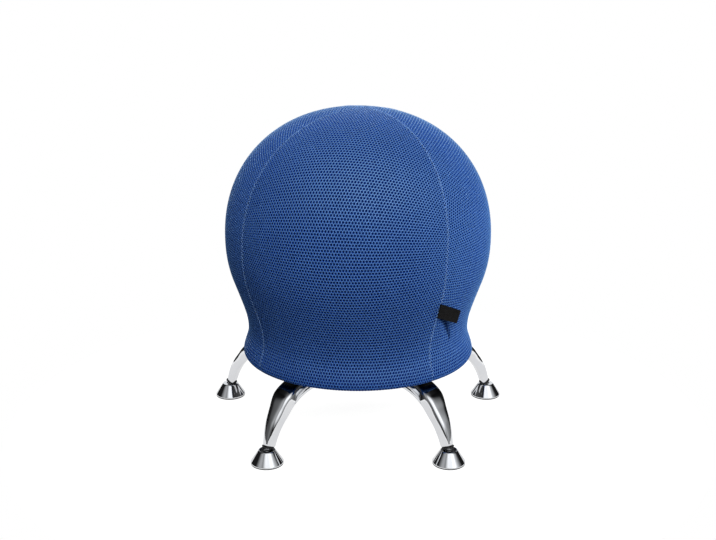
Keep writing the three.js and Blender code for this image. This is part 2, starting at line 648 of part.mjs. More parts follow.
// A pan-head screw with a cross recess, driven up through the hub into the pan's boss
function panScrewSolid() {
  const seat = HUB_UNDERSIDE_HEIGHT - FIT_GAP;
  const bottom = seat - PAN_SCREW_HEAD_HEIGHT;
  const rounding = PAN_SCREW_HEAD_HEIGHT / 2;
  const body = revolved([
    [0, bottom],
    [PAN_SCREW_HEAD_RADIUS - rounding, bottom],
    [PAN_SCREW_HEAD_RADIUS, bottom + rounding],
    [PAN_SCREW_HEAD_RADIUS, seat],
    [PAN_SCREW_RADIUS, seat],
    [PAN_SCREW_RADIUS, seat + PAN_SCREW_LENGTH],
    [0, seat + PAN_SCREW_LENGTH + PAN_SCREW_RADIUS],
  ], BOLT_SEGMENTS);
  const depth = PAN_SCREW_DRIVE_DEPTH + CUT_OVERRUN;
  const middle = bottom + PAN_SCREW_DRIVE_DEPTH - depth / 2;
  const slot = new THREE.BoxGeometry(PAN_SCREW_DRIVE_LENGTH, PAN_SCREW_DRIVE_WIDTH, depth);
  const cross = solidOf(slot.clone().translate(0, 0, middle));
  const turned = solidOf(slot.clone().rotateZ(Math.PI / 2).translate(0, 0, middle));
  return body.subtract(cross.add(turned));
}

// The stud's ball end is at the origin here, and its shank runs up +Z into the leg
function studSolid() {
  const neck = Math.asin(STUD_RADIUS / STUD_BALL_RADIUS);
  const head = spread(Math.PI, neck, STUD_BALL_STEPS, (angle) => [
    STUD_BALL_RADIUS * Math.abs(Math.sin(angle)),
    STUD_BALL_RADIUS * Math.cos(angle),
  ]);
  const top = LEG_STANDS_OFF_BALL + STUD_DEPTH_IN_LEG;
  return revolved([
    ...head,
    [STUD_RADIUS, top - STUD_TIP_BEVEL],
    [STUD_RADIUS - STUD_TIP_BEVEL, top],
    [0, top],
  ], STUD_SEGMENTS);
}

// The lock collar on the stud, just under the leg's tip
function collarSolid() {
  const top = LEG_STANDS_OFF_BALL - FIT_GAP;
  const bottom = top - COLLAR_HEIGHT;
  const bore = STUD_RADIUS + FIT_GAP;
  return revolved([
    [bore, bottom],
    [COLLAR_RADIUS - COLLAR_BEVEL, bottom],
    [COLLAR_RADIUS, bottom + COLLAR_BEVEL],
    [COLLAR_RADIUS, top],
    [bore, top],
  ], STUD_SEGMENTS);
}

// The foot's cone, with a round seat for the stud's ball and a recess for its pad
function coneSolid() {
  const recessTop = PAD_THICKNESS + FIT_GAP;
  const recess = PAD_RADIUS + FIT_GAP;
  const lipTop = CONE_SHOWS_PAD + CONE_LIP_HEIGHT;
  const body = revolved([
    [0, recessTop],
    [recess, recessTop],
    [recess, CONE_SHOWS_PAD],
    [CONE_BASE_RADIUS, CONE_SHOWS_PAD],
    [CONE_BASE_RADIUS, lipTop],
    [CONE_TOP_RADIUS, CONE_HEIGHT - CONE_SHOULDER],
    [CONE_TOP_RADIUS - CONE_SHOULDER, CONE_HEIGHT],
    [0, CONE_HEIGHT],
  ], FOOT_SEGMENTS);
  const flatShare = Math.cos(Math.PI / STUD_SEGMENTS) * Math.cos(Math.PI / STUD_BALL_STEPS / 2);
  const seatRadius = (STUD_BALL_RADIUS + FIT_GAP) / flatShare;
  const seat = revolved(spread(0, Math.PI, STUD_BALL_STEPS, (angle) => [
    seatRadius * Math.abs(Math.sin(angle)),
    STUD_BALL_HEIGHT + seatRadius * Math.cos(angle),
  ]), STUD_SEGMENTS);
  const mouth = bar(CONE_MOUTH_RADIUS, STUD_BALL_HEIGHT, CONE_HEIGHT + CUT_OVERRUN, STUD_SEGMENTS);
  return body.subtract(seat.add(mouth));
}

function padSolid() {
  return revolved([
    [0, 0],
    [PAD_RADIUS - PAD_BEVEL, 0],
    [PAD_RADIUS, PAD_BEVEL],
    [PAD_RADIUS, PAD_THICKNESS],
    [0, PAD_THICKNESS],
  ], FOOT_SEGMENTS);
}

function named(name, solid, material) {
  const mesh = new THREE.Mesh(geometryOf(solid), material);
  mesh.name = name;
  return mesh;
}

// A leg with its bolts, stud, collar and foot, made at the front and turned into place
function legAssembly(index) {
  const number = index + 1;
  const group = new THREE.Group();
  group.add(named(`leg_${number}`, legSolid(), finish(COLOURS.chrome, 0.06, 1)));
  LEG_BOLT_RADII.forEach((radius, i) => {
    const bolt = named(`leg_bolt_${number}${i === 0 ? '_inner' : '_outer'}`, legBoltSolid(),
      finish(COLOURS.zinc, 0.35, 1));
    bolt.position.y = -radius;
    group.add(bolt);
  });
  const stud = new THREE.Group();
  stud.add(named(`foot_stud_${number}`, studSolid(), finish(COLOURS.zinc, 0.3, 1)));
  stud.add(named(`foot_collar_${number}`, collarSolid(), finish(COLOURS.plastic, 0.6, 0)));
  stud.rotation.x = -STUD_LEAN;
  stud.position.set(0, -FOOT_CIRCLE_RADIUS, STUD_BALL_HEIGHT);
  group.add(stud);
  const foot = new THREE.Group();
  foot.add(named(`foot_cone_${number}`, coneSolid(), finish(COLOURS.chrome, 0.08, 1)));
  foot.add(named(`foot_pad_${number}`, padSolid(), finish(COLOURS.rubber, 0.85, 0)));
  foot.position.y = -FOOT_CIRCLE_RADIUS;
  group.add(foot);
  group.rotation.z = radiansOf(legAngle(index));
  return group;
}

function panScrew(index) {
  const screw = named(`pan_screw_${index + 1}`, panScrewSolid(), finish(COLOURS.zinc, 0.35, 1));
  screw.position.copy(atAzimuth(PAN_SCREW_CIRCLE_RADIUS, screwAngle(index), 0));
  return screw;
}

const chair = new THREE.Group();
chair.add(named('seat_cover', coverSolid(), finish(COLOURS.cover, 0.9, 0)));
chair.add(named('cover_label', labelSolid(), finish(COLOURS.label, 0.8, 0)));
chair.add(named('hem_cord', hemCordSolid(), finish(COLOURS.cord, 0.9, 0)));
chair.add(named('exercise_ball', ballSolid(), finish(COLOURS.ball, 0.5, 0)));
chair.add(named('valve_plug', valvePlugSolid(), finish(COLOURS.rubber, 0.5, 0)));
chair.add(named('seat_pan', panSolid(), finish(COLOURS.plastic, 0.6, 0)));
chair.add(named('hub_plate', hubSolid(), finish(COLOURS.steel, 0.45, 0.6)));
for (let i = 0; i < LEG_COUNT; i += 1) {
  chair.add(legAssembly(i));
  chair.add(panScrew(i));
}

// Five legs reach further back than forward, so the ball's axis lies in front of the origin
chair.position.y = -(FOOT_CIRCLE_RADIUS * (1 - Math.cos(radiansOf(FRONT_LEG_ANGLE)))) / 2;

export default chair;
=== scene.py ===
import math

import bmesh
import bpy
import numpy as np
from mathutils import Matrix, Vector


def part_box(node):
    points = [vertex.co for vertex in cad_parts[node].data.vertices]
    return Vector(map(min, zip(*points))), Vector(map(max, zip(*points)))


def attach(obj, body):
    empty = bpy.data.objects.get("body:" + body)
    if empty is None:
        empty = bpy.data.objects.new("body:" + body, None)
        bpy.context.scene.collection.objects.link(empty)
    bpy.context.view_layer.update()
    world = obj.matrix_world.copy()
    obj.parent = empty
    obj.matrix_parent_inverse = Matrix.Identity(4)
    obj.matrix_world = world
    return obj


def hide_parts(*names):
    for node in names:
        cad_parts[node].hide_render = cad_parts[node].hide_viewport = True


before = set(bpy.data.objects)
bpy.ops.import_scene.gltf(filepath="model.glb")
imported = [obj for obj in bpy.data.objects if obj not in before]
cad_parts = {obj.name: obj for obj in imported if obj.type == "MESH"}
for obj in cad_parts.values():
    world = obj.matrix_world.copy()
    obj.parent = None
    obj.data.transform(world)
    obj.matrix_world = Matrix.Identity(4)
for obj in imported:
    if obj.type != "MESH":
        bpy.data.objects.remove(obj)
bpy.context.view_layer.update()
scene = bpy.context.scene

# Metres throughout, +Z up, the chair's front is -Y. Angles round the chair are in degrees from
# the front and grow towards +X
MM = 0.001
SAME_SPOT = 1e-7
LEG_COUNT = 5
FRONT_LEG_ANGLE = 36
FIT_GAP = 0.3 * MM
CUT_OVERRUN = 2 * MM
CORNER_SHARE = 0.45
SEAT_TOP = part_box("seat_cover")[1].z
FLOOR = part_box("foot_pad_1")[0].z
FOOT_CIRCLE = 254 * MM
# The box of the feet is centred in the frame, so the chair's axis lies a little forward
AXIS_Y = -FOOT_CIRCLE * (1 - math.cos(math.radians(FRONT_LEG_ANGLE))) / 2

# Ball
BALL_RADIUS = 225 * MM
BALL_WALL = 2.5 * MM
BALL_CENTRE = 335.5 * MM
BALL_ROUNDNESS = 2.15
BALL_RINGS = 70
VALVE_BOSS = (12 * MM, 9 * MM)
VALVE_HOLE = 4.7 * MM
VALVE_HEAD = (7.5 * MM, 2 * MM)
PLUG_NOSE = (0.8 * MM, 2 * MM)
PLUG_EDGE = 0.5 * MM

# Cover: one face net with eyelets in four gores, over a plain back net
COVER_WALL = 4.5 * MM
COVER_LEAVES_BALL = 262.5 * MM
WAIST = (194 * MM, 171.5 * MM)
WAIST_UPPER_PULL = 27 * MM
WAIST_LOWER_PULL = 16 * MM
SKIRT_UPPER_PULL = 45 * MM
SKIRT_LOWER_PULL = 12 * MM
HEM = (198.2 * MM, 129.8 * MM)
HEM_CORD = 3 * MM
HEM_CLOTH = 2.1 * MM
HEM_WRAP = 260
HEM_OUTER = HEM_CORD + FIT_GAP + HEM_CLOTH
EYELET_PITCH = 4.77 * MM
EYELET_ROW = 5.0 * MM
EYELET_HALF = (1.46 * MM, 2.08 * MM)
EYELET_SHOULDER_SHARE = 0.48
EYELET_LIP = 0.45 * MM
EYELET_DEPTH = 1.7 * MM
EYELET_TAPER = 0.84
NET_HALF_WIDTH = 215 * MM
BACK_NET_DEPTH = 3.0 * MM
BACK_NET_INNER = COVER_WALL - 0.05 * MM
# Each seam's angle at the waist and its swing aside at the apex, in degrees
SEAMS = [(37.6, 5.5), (128.5, 0.0), (217.0, 0.0), (305.0, 0.0)]
SEAM_ROLL = 1.5 * MM
SEAM_SLIT = 0.15 * MM
SEAM_FADE = 1.3
SEAM_ALLOWANCE = 2.9 * MM
APEX_SHIFT = 14 * MM
SIDE_STRETCH = 0.045
STRETCH_REACH = 175 * MM
THREAD_RADIUS = 0.33 * MM
THREAD_RISE = 0.25 * MM
THREAD_DIVE = 0.5 * MM
STITCH_PITCH = 3.1 * MM
STITCH_REACH = 2.1 * MM
STITCH_START = 5 * MM
STITCH_END = 1 * MM
STITCH_OVERSWING = 1.15
STITCH_DIVES_PAST = 0.95

# Label, and the crease that runs down from it, sunk and darkened by painted shade, given by azimuth and
# arc length
LABEL_LENGTH = 44 * MM
LABEL_HEIGHT = 27 * MM
LABEL_PLY = 0.6 * MM
LABEL_FOLD_GAP = 0.6 * MM
LABEL_CURL = 0.9 * MM
LABEL_CURL_TURN = (2.2, 0.5)
LABEL_ROWS = 15
LABEL_STANDS_OFF = 0.55 * MM
LABEL_SEAM_ANGLE = 37.3
LABEL_SEAM_HEIGHT = 252 * MM
LABEL_DROOP = 25.6
LABEL_LEAN_OUT = 7
CREASE_TOP = (42.4, 0.463)
CREASE_END = (51.4, 0.507)
CREASE_WIDTH = 15 * MM
CREASE_NARROWS = 0.7
CREASE_DEPTH = 1.2 * MM

# Hub and legs
FLANGE_HEIGHT = HEM[1] + HEM_OUTER + FIT_GAP
PAN_WALL = 3.5 * MM
PAN_PLATE = FLANGE_HEIGHT - 5.3 * MM
PAN_EDGE = 0.4 * MM
HUB_TOP = PAN_PLATE - FIT_GAP
HUB_UNDERSIDE = HUB_TOP - 4 * MM
LEG_SEAT = HUB_UNDERSIDE - FIT_GAP
BALL_BOTTOM = PAN_PLATE + PAN_WALL + FIT_GAP
LEG_ROOT_RADIUS = 92 * MM
LEG_ROOT = (40 * MM, 23 * MM)
LEG_TIP = (19 * MM, 15.6 * MM)
LEG_PAD_TRIM = 1 * MM
LEG_END_ROUND = 1.4 * MM
LEG_END_SHARES = [0, 0.12, 0.4, 1.0]
LEG_STATIONS = 84
LEG_SIDES = 56
LEG_TAPER = 84 * MM
LEG_SQUARENESS = (5.5, 3.2)
LEG_TOP_NARROWS = (0.34, 0.16)
LEG_TIP_LEAN = math.radians(18)
LEG_TIP_STRAIGHT = 20.4 * MM
LEG_RUN_SHARES = [0, 0.24, 0.44, 0.603, 0.735, 0.829, 0.911]
LEG_DROP_SHARES = [0, 0, 0.022, 0.076, 0.184, 0.383, 0.586]
LEG_BOLT_RADII = {"inner": 112 * MM, "outer": 146 * MM}
BOLT_RADIUS = 4 * MM
BOLT_HEAD = (6.5 * MM, 8 * MM)
BOLT_HEAD_EDGES = (0.8 * MM, 0.2 * MM)
BOLT_TIP_EDGE = 0.7 * MM
BOLT_SOCKET = (6 * MM, 4 * MM)
BOLT_SOCKET_POINT = 1 * MM
BOLT_SHANK = 24.5 * MM
BOLT_RECESS = (7.2 * MM, 13 * MM)
BOLT_RECESS_CUT = 30 * MM
SCREW_CIRCLE = 138 * MM
SCREW_RADIUS = 2 * MM
SCREW_HEAD = (4.8 * MM, 2.8 * MM)
SCREW_HEAD_ROUND = 1.8 * MM
SCREW_LENGTH = 15 * MM
SCREW_DRIVE = (5.6 * MM, 1.4 * MM, 1.5 * MM)

# Feet
STUD_LEAN = math.radians(14)
STUD_RADIUS = 4 * MM
STUD_DEPTH = 22 * MM
STUD_CHAMFER = 1 * MM
STUD_BALL = 7.5 * MM
STUD_BALL_HEIGHT = 17.1 * MM
LEG_OFF_BALL = 12.7 * MM
COLLAR = (10.2 * MM, 2.8 * MM)
COLLAR_BEVEL = 1.8 * MM
COLLAR_EDGE = 0.6 * MM
CONE_HEIGHT = 23.8 * MM
CONE_BASE = 27.3 * MM
CONE_TOP = 14.6 * MM
CONE_FLARE = 0.2 * MM
CONE_LIP = 1.7 * MM
CONE_SHOULDER = 1.2 * MM
CONE_MOUTH = 6.9 * MM
CONE_MOUTH_EDGE = (0.3 * MM, 0.5 * MM)
CONE_SHOWS_PAD = 1.8 * MM
PAD_RADIUS = 24.4 * MM
PAD_THICKNESS = 3.4 * MM
PAD_RIM = 26.9 * MM
PAD_RIM_TOP = CONE_SHOWS_PAD - 0.2 * MM
FOOT_EDGES = (0.3 * MM, 0.5 * MM, 0.6 * MM)
PAD_EDGES = (0.4 * MM, 0.3 * MM, 0.1 * MM)

# Cloth and chrome tones, among them the cloth's painted highlight and painted shade. A point's well
# runs from 0 on the net to 1 at the base of an eyelet
WELL_LEVELS = [0.0, 0.3, 1.0]
WELL_CREST = 0.24
WELL_DARK = 0.42
YARN_TONES = [(0.023, 0.092, 0.325), (0.031, 0.112, 0.365)]
# Painted highlight: a pale blue laid on the crests of the net
CREST_HIGHLIGHT_TONE = (0.16, 0.32, 0.70)
# Painted shade: navy laid down the eyelets' walls
EYELET_SHADE_TONE = (0.0004, 0.034, 0.32)
# Painted shade along the crease under the label
CREASE_SHADE_TONE = (0.003, 0.016, 0.085)
# Painted shade: the cloth darkens towards the hem
HEM_SHADE_TONE = (0.68, 0.76, 0.85)
HEM_SHADE_RISE = 30 * MM
STRAND_GLOSS = 2.27
CLOTH_SHEEN = 0.6
# Painted light: the side gores are a lighter copy of the cloth, with more sheen
SIDE_GORES = (0, 2)
SIDE_GORE_PAINTED_LIGHT_AND_SHEEN = 1.12
LABEL_TONES = [(0.0006, 0.0005, 0.0005), (0.0025, 0.0018, 0.0015)]
CHROME_TONES = [(0.80, 0.81, 0.835), (0.88, 0.885, 0.90)]
LEG_SHADE_TONE = (0.15, 0.15, 0.155)
LEG_SHADE_HEIGHT = LEG_SEAT - 30 * MM
LEG_SHADE_RISE = 12 * MM

# Plain stocks: dark and light tone, roughness from and to, grain scale, grain depth, metal share
# and grain detail
PLAIN_STOCKS = {
    # The back net is the cloth's real inner face; its navy, darker than the face yarn, is painted shade
    # under the eyelets
    "back_net": ((0.0005, 0.016, 0.14), (0.0008, 0.024, 0.20), (0.9, 0.9), 700, 0.3 * MM, 0, 3),
    "seam_thread": ((0.19, 0.38, 0.78), (0.32, 0.54, 0.98), (0.5, 0.5), 1500, 0.1 * MM, 0, 2),
    "ball_vinyl": ((0.12, 0.13, 0.15), (0.18, 0.19, 0.21), (0.45, 0.6), 300, 0.1 * MM, 0, 4),
    "hem_elastic": ((0.014, 0.014, 0.017), (0.03, 0.03, 0.034), (0.7, 0.9), 900, 0.3 * MM, 0, 4),
    "plug": ((0.55, 0.55, 0.52), (0.7, 0.7, 0.68), (0.35, 0.5), 500, 0.05 * MM, 0, 4),
    "fastener_zinc": ((0.40, 0.41, 0.43), (0.52, 0.53, 0.55), (0.28, 0.42), 260, 0.03 * MM, 1, 4),
    "stud_steel": ((0.46, 0.47, 0.49), (0.58, 0.59, 0.61), (0.25, 0.38), 320, 0.03 * MM, 1, 4),
    "collar_plastic": ((0.010, 0.010, 0.011), (0.02, 0.02, 0.021), (0.4, 0.6), 500, 0.05 * MM, 0, 4),
    "pad_rubber": ((0.014, 0.014, 0.014), (0.028, 0.028, 0.028), (0.75, 0.95), 400, 0.1 * MM, 0, 4),
    "pan_moulding": ((0.012, 0.012, 0.014), (0.024, 0.024, 0.027), (0.5, 0.7), 420, 0.15 * MM, 0, 4),
    "hub_steel": ((0.016, 0.016, 0.018), (0.03, 0.03, 0.032), (0.35, 0.55), 380, 0.1 * MM, 0, 4),
}

# Stage
TARGET = Vector((0, AXIS_Y, 269.7 * MM))
CAMERA_DISTANCE = 1.883
CAMERA_ELEVATION = math.radians(16.63)
CAMERA_LENS = 53.85
LIGHT_DISTANCE = 2.0
STUDIO_DARK = 0.012
# Name, radius, drop under the pads, glow, and whether the camera sees it
FLOORS = [
    ("floor", 620 * MM, 0.05 * MM, 0.93, True),
    ("floor_mirrored", 930 * MM, 0.2 * MM, 0.72, False),
]
# Name, azimuth, elevation, size, power and colour
LIGHTS = [
    ("key", 16, 31, (0.7, 0.6), 13, (1, 1, 1)),
    ("overhead", -20, 72, (0.6, 0.6), 2.5, (1, 1, 1)),
    ("rim_back", 178, 34, (1.6, 0.5), 16, (1, 1, 0.94)),
    ("rim_right", 104, 0, (0.4, 1.2), 27, (1, 1, 0.90)),
    ("rim_left", -125, 48, (0.4, 0.9), 6.5, (0.92, 0.98, 1)),
]
# Azimuth, elevation, full radius, outer radius and strength
STUDIO_PATCHES = [
    (20, 41, 12, 42, 1.1),
    (56, 38, 12, 30, 0.32),
    (-38, 42, 10, 34, 0.22),
    (0, 90, 14, 40, 0.36),
    (0, -90, 40, 85, 0.20),
    (48, 8, 10, 30, 0.26),
    (-40, 10, 8, 32, 0.10),
    (180, 8, 28, 42, 0.85),
    (-60, 36, 8, 25, 0.15),
    (-62, 6, 8, 25, 0.08),
    (72, 12, 8, 26, 0.20),
]


# Mesh helpers

def weld(mesh):
    """Joins points that lie in one place and turns the faces of a closed solid outwards."""
    work = bmesh.new()
    work.from_mesh(mesh)
    bmesh.ops.remove_doubles(work, verts=work.verts, dist=SAME_SPOT)
    bmesh.ops.recalc_face_normals(work, faces=work.faces)
    work.to_mesh(mesh)
    work.free()


def smooth(mesh, sharp_angle=38):
    mesh.shade_smooth()
    mesh.set_sharp_from_angle(angle=math.radians(sharp_angle))


def link(name, data):
    """A new object in the scene."""
    made = bpy.data.objects.new(name, data)
    scene.collection.objects.link(made)
    return made


def add_object(name, points, faces, sharp_angle=38, welded=True):
    mesh = bpy.data.meshes.new(name)
    mesh.from_pydata([tuple(p) for p in points], [], [tuple(f) for f in faces])
    if welded:
        weld(mesh)
    smooth(mesh, sharp_angle)
    return link(name, mesh)


def revolved(name, profile, segments=96, closed=True, sharp_angle=38, centre_y=0.0):
    """A profile of (radius, height) turned about an upright axis. A closed profile's last point
    is joined to its first."""
    points, rings, faces = [], [], []
    whole_round = [2 * math.pi * i / segments for i in range(segments)]
    for radius, height in profile:
        turns = [0] if radius < SAME_SPOT else whole_round
        rings.append(list(range(len(points), len(points) + len(turns))))
        for turn in turns:
            points.append((radius * math.cos(turn), radius * math.sin(turn) + centre_y, height))
    for a, b in zip(rings, rings[1:] + (rings[:1] if closed else [])):
        if len(a) == 1 and len(b) == 1:
            continue
        for i in range(segments):
            j = (i + 1) % segments
            corner = [a[i % len(a)], a[j % len(a)], b[j % len(b)], b[i % len(b)]]
            faces.append(list(dict.fromkeys(corner)))
    return add_object(name, points, faces, sharp_angle)


def ring_faces(rings, count, capped=True):
    """Four-sided faces from each ring of points to the next, and a cap at each end."""
    faces = []
    for first in range(0, (rings - 1) * count, count):
        for i in range(count):
            j = (i + 1) % count
            faces.append((first + i, first + j, first + count + j, first + count + i))
    if capped:
        faces += [tuple(range(count)), tuple(range((rings - 1) * count, rings * count))]
    return faces


def rounded(corners, radius=0.0, steps=4):
    """A closed profile with each corner that has a radius turned into a short curve.
    A corner is (radius, height) or (radius, height, rounding)."""
    out = []
    count = len(corners)
    for k, corner in enumerate(corners):
        here = np.array(corner[:2])
        bend = corner[2] if len(corner) > 2 else radius
        if bend <= 0:
            out.append(tuple(here))
            continue
        ways = [np.array(corners[j % count][:2]) - here for j in (k - 1, k + 1)]
        lengths = [np.linalg.norm(way) for way in ways]
        reach = min(bend, min(lengths) * CORNER_SHARE)
        start, end = (here + way / length * reach for way, length in zip(ways, lengths))
        for i in range(steps + 1):
            t = i / steps
            out.append(tuple((1 - t) ** 2 * start + 2 * t * (1 - t) * here + t * t * end))
    return out


def cut(piece, cutter):
    """Takes the cutter's shape out of the piece for good."""
    step = piece.modifiers.new("cut", "BOOLEAN")
    step.operation = "DIFFERENCE"
    step.solver = "EXACT"
    step.object = cutter
    made = bpy.data.meshes.new_from_object(piece.evaluated_get(bpy.context.evaluated_depsgraph_get()))
    piece.modifiers.clear()
    piece.data = made
    smooth(made)
    bpy.data.objects.remove(cutter)


def moved(piece, matrix, name):
    """A copy of a piece with its mesh moved, so that its own place stays at the origin."""
    mesh = piece.data.copy()
    mesh.transform(matrix)
    return link(name, mesh)


def settle(piece, body, slot, material, *nodes):
    piece.data.materials.clear()
    piece.data.materials.append(material)
    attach(piece, body)
    if nodes:
        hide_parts(*nodes)
    return piece


def turned(angle, radius=0.0):
    """From a piece made at the chair's axis to its place at a radius and an angle from the front."""
    turn = Matrix.Rotation(math.radians(angle), 4, "Z")
    return Matrix.Translation((0, AXIS_Y, 0)) @ turn @ Matrix.Translation((0, -radius, 0))


# Lines and outlines

BALL_TOP_SEMI = SEAT_TOP - COVER_WALL - FIT_GAP - BALL_CENTRE
BALL_LOW_SEMI = BALL_CENTRE - BALL_BOTTOM


def running_length(points, power=1):
    """The length along a line of points, with each step raised to a power."""
    steps = np.linalg.norm(np.diff(points, axis=0), axis=1) ** power
    return np.concatenate([[0], np.cumsum(steps)])


def directions(points):
    """Unit vectors along a line of points."""
    way = np.gradient(points, axis=0)
    return way / np.linalg.norm(way, axis=1)[:, None]


def ball_outline(offset, angle):
    power = 2 / BALL_ROUNDNESS
    semi = np.where(angle < math.pi / 2, BALL_TOP_SEMI, BALL_LOW_SEMI)
    along = np.abs(np.cos(angle)) ** power * np.sign(np.cos(angle))
    radius = (BALL_RADIUS + offset) * np.abs(np.sin(angle)) ** power
    return np.stack([radius, BALL_CENTRE + (semi + offset) * along], -1)


def ball_angle_at_height(offset, height):
    along = ((BALL_CENTRE - height) / (BALL_LOW_SEMI + offset)) ** (BALL_ROUNDNESS / 2)
    return math.pi - math.acos(along)


def ball_angle_at_radius(offset, radius):
    return math.pi - math.asin((radius / (BALL_RADIUS + offset)) ** (BALL_ROUNDNESS / 2))


def bezier(a, b, c, d, steps):
    t = np.linspace(0, 1, steps + 1)[:, None]
    a, b, c, d = (np.array(p) for p in (a, b, c, d))
    return (1 - t) ** 3 * a + 3 * t * (1 - t) ** 2 * b + 3 * t * t * (1 - t) * c + t ** 3 * d


def cover_outline(inset=0.0):
    """The cover's outside, or a line set in from it, from the top down and round the hem cord."""
    offset = COVER_WALL + FIT_GAP - inset
    start = ball_angle_at_height(offset, COVER_LEAVES_BALL)
    top = ball_outline(offset, start * np.linspace(0, 1, 241))
    slope = (top[-1, 0] - top[-2, 0]) / (top[-1, 1] - top[-2, 1])
    leave = tuple(top[-1])
    waist = (WAIST[0] - inset, WAIST[1])
    hem_radius = HEM_OUTER - min(inset, HEM_CLOTH)
    hem = (HEM[0] + hem_radius, HEM[1])
    below_ball = (leave[0] - slope * SKIRT_UPPER_PULL, leave[1] - SKIRT_UPPER_PULL)
    above_waist = (waist[0], waist[1] + WAIST_UPPER_PULL)
    below_waist = (waist[0], waist[1] - WAIST_LOWER_PULL)
    above_hem = (hem[0], hem[1] + SKIRT_LOWER_PULL)
    upper = bezier(leave, below_ball, above_waist, waist, 60)
    lower = bezier(waist, below_waist, above_hem, hem, 40)
    turn = -np.radians(np.linspace(0, HEM_WRAP, 60))
    roll = np.stack([HEM[0] + hem_radius * np.cos(turn), HEM[1] + hem_radius * np.sin(turn)], -1)
    return np.concatenate([top, upper[1:], lower[1:], roll[1:]])


class Outline:
    """An outline by its arc length, with the outward normal at each place."""

    def __init__(self, points):
        way = directions(points)
        self.points = points
        self.length = running_length(points)
        self.normals = np.stack([-way[:, 1], way[:, 0]], -1)

    def at(self, s):
        """Radius, height, and the normal's outward and upward part."""
        columns = (*self.points.T, *self.normals.T)
        return tuple(np.interp(s, self.length, column) for column in columns)

    def length_at_height(self, height):
        return float(self.length[np.argmax(self.points[:, 1] <= height)])


COVER = Outline(cover_outline())
CLOTH_LENGTH = float(COVER.length[-1])
EQUATOR = COVER.length_at_height(BALL_CENTRE)
SPHERE = EQUATOR / (math.pi / 2)
SKIRT = COVER.length_at_height(WAIST[1])
HEM_LENGTH = COVER.length_at_height(HEM[1])


def ease(t):
    t = np.clip(t, 0, 1)
    return t * t * (3 - 2 * t)


def place_on_cover(azimuth, s, rise):
    """Points on the cover at an azimuth in radians and an arc length from its sewn apex, raised
    or sunk along the normal. The sewn apex sits a little to one side of the ball's own top."""
    polar = s / SPHERE
    lean = APEX_SHIFT / SPHERE * (1 - ease(polar / (math.pi / 2)))
    x = np.sin(polar) * np.sin(azimuth)
    y = -np.sin(polar) * np.cos(azimuth)
    z = np.cos(polar)
    x, z = x * np.cos(lean) + z * np.sin(lean), z * np.cos(lean) - x * np.sin(lean)
    azimuth = np.arctan2(x, -y)
    radius, height, out, up = COVER.at(np.arccos(np.clip(z, -1, 1)) * SPHERE)
    reach = radius + rise * out
    x, y = reach * np.sin(azimuth), AXIS_Y - reach * np.cos(azimuth)
    return np.stack([x, y, height + rise * up], -1)


def seam_foot(seam):
    """A seam's angle at the waist. Seams past the last go round again."""
    return SEAMS[seam % len(SEAMS)][0] + 360 * (seam // len(SEAMS))


def seam_azimuth(seam, s):
    """A seam's azimuth in radians at an arc length. It swings aside a little towards the top."""
    swing = SEAMS[seam % len(SEAMS)][1]
    polar = np.clip(s / SPHERE, 0, math.pi / 2)
    return np.radians(seam_foot(seam) + swing * np.cos(polar))


# Material helpers

def fill(tree, node, inputs):
    """Wires a node's inputs to other nodes, or sets them to numbers, vectors and colours."""
    for name, value in inputs.items():
        socket = node.inputs[name]
        if isinstance(value, bpy.types.NodeSocket):
            tree.links.new(value, socket)
        else:
            socket.default_value = (*value, 1) if socket.type == "RGBA" else value


def add_node(tree, kind, inputs=None, **settings):
    node = tree.nodes.new("ShaderNode" + kind)
    for name, value in settings.items():
        setattr(node, name, value)
    fill(tree, node, inputs or {})
    return node


def new_material(name):
    material = bpy.data.materials.new(name)
    material.use_nodes = True
    tree = material.node_tree
    return material, tree, tree.nodes["Principled BSDF"]


def coordinates(tree, kind="Object"):
    return add_node(tree, "TexCoord").outputs[kind]


def attribute(tree, name):
    return add_node(tree, "Attribute", attribute_name=name).outputs["Fac"]


def noise(tree, scale, vector, detail, distortion=0.0):
    inputs = {"Scale": scale, "Vector": vector, "Detail": detail, "Distortion": distortion}
    return add_node(tree, "TexNoise", inputs).outputs["Fac"]


def spread(tree, value, low, high):
    """Maps 0 to 1 onto low to high."""
    return add_node(tree, "MapRange", {"Value": value, "To Min": low, "To Max": high}).outputs["Result"]


def ramp(tree, value, *stops):
    node = add_node(tree, "ValToRGB", {"Fac": value})
    for element, (place, colour) in zip(node.color_ramp.elements, stops):
        element.position = place
        element.color = (*colour, 1)
    return node.outputs["Color"]


def fade(tree, value, low, high, top=1.0):
    """0 up to low, then evenly up to the top at high."""
    return ramp(tree, value, (low, (0, 0, 0)), (high, (top, top, top)))


def z_part(tree, vector):
    return add_node(tree, "SeparateXYZ", {0: vector}).outputs["Z"]


def dot_product(tree, vector, fixed):
    return add_node(tree, "VectorMath", {0: vector, 1: fixed}, operation="DOT_PRODUCT").outputs["Value"]


def math_node(tree, operation, *values):
    return add_node(tree, "Math", dict(enumerate(values)), operation=operation).outputs["Value"]


def mix_colour(tree, share, a, b, blend="MIX"):
    inputs = {0: share, 6: a, 7: b}
    return add_node(tree, "Mix", inputs, data_type="RGBA", blend_type=blend).outputs[2]


def bump(tree, height, distance):
    inputs = {"Strength": 1, "Distance": distance, "Height": height}
    return add_node(tree, "Bump", inputs).outputs["Normal"]


# Materials

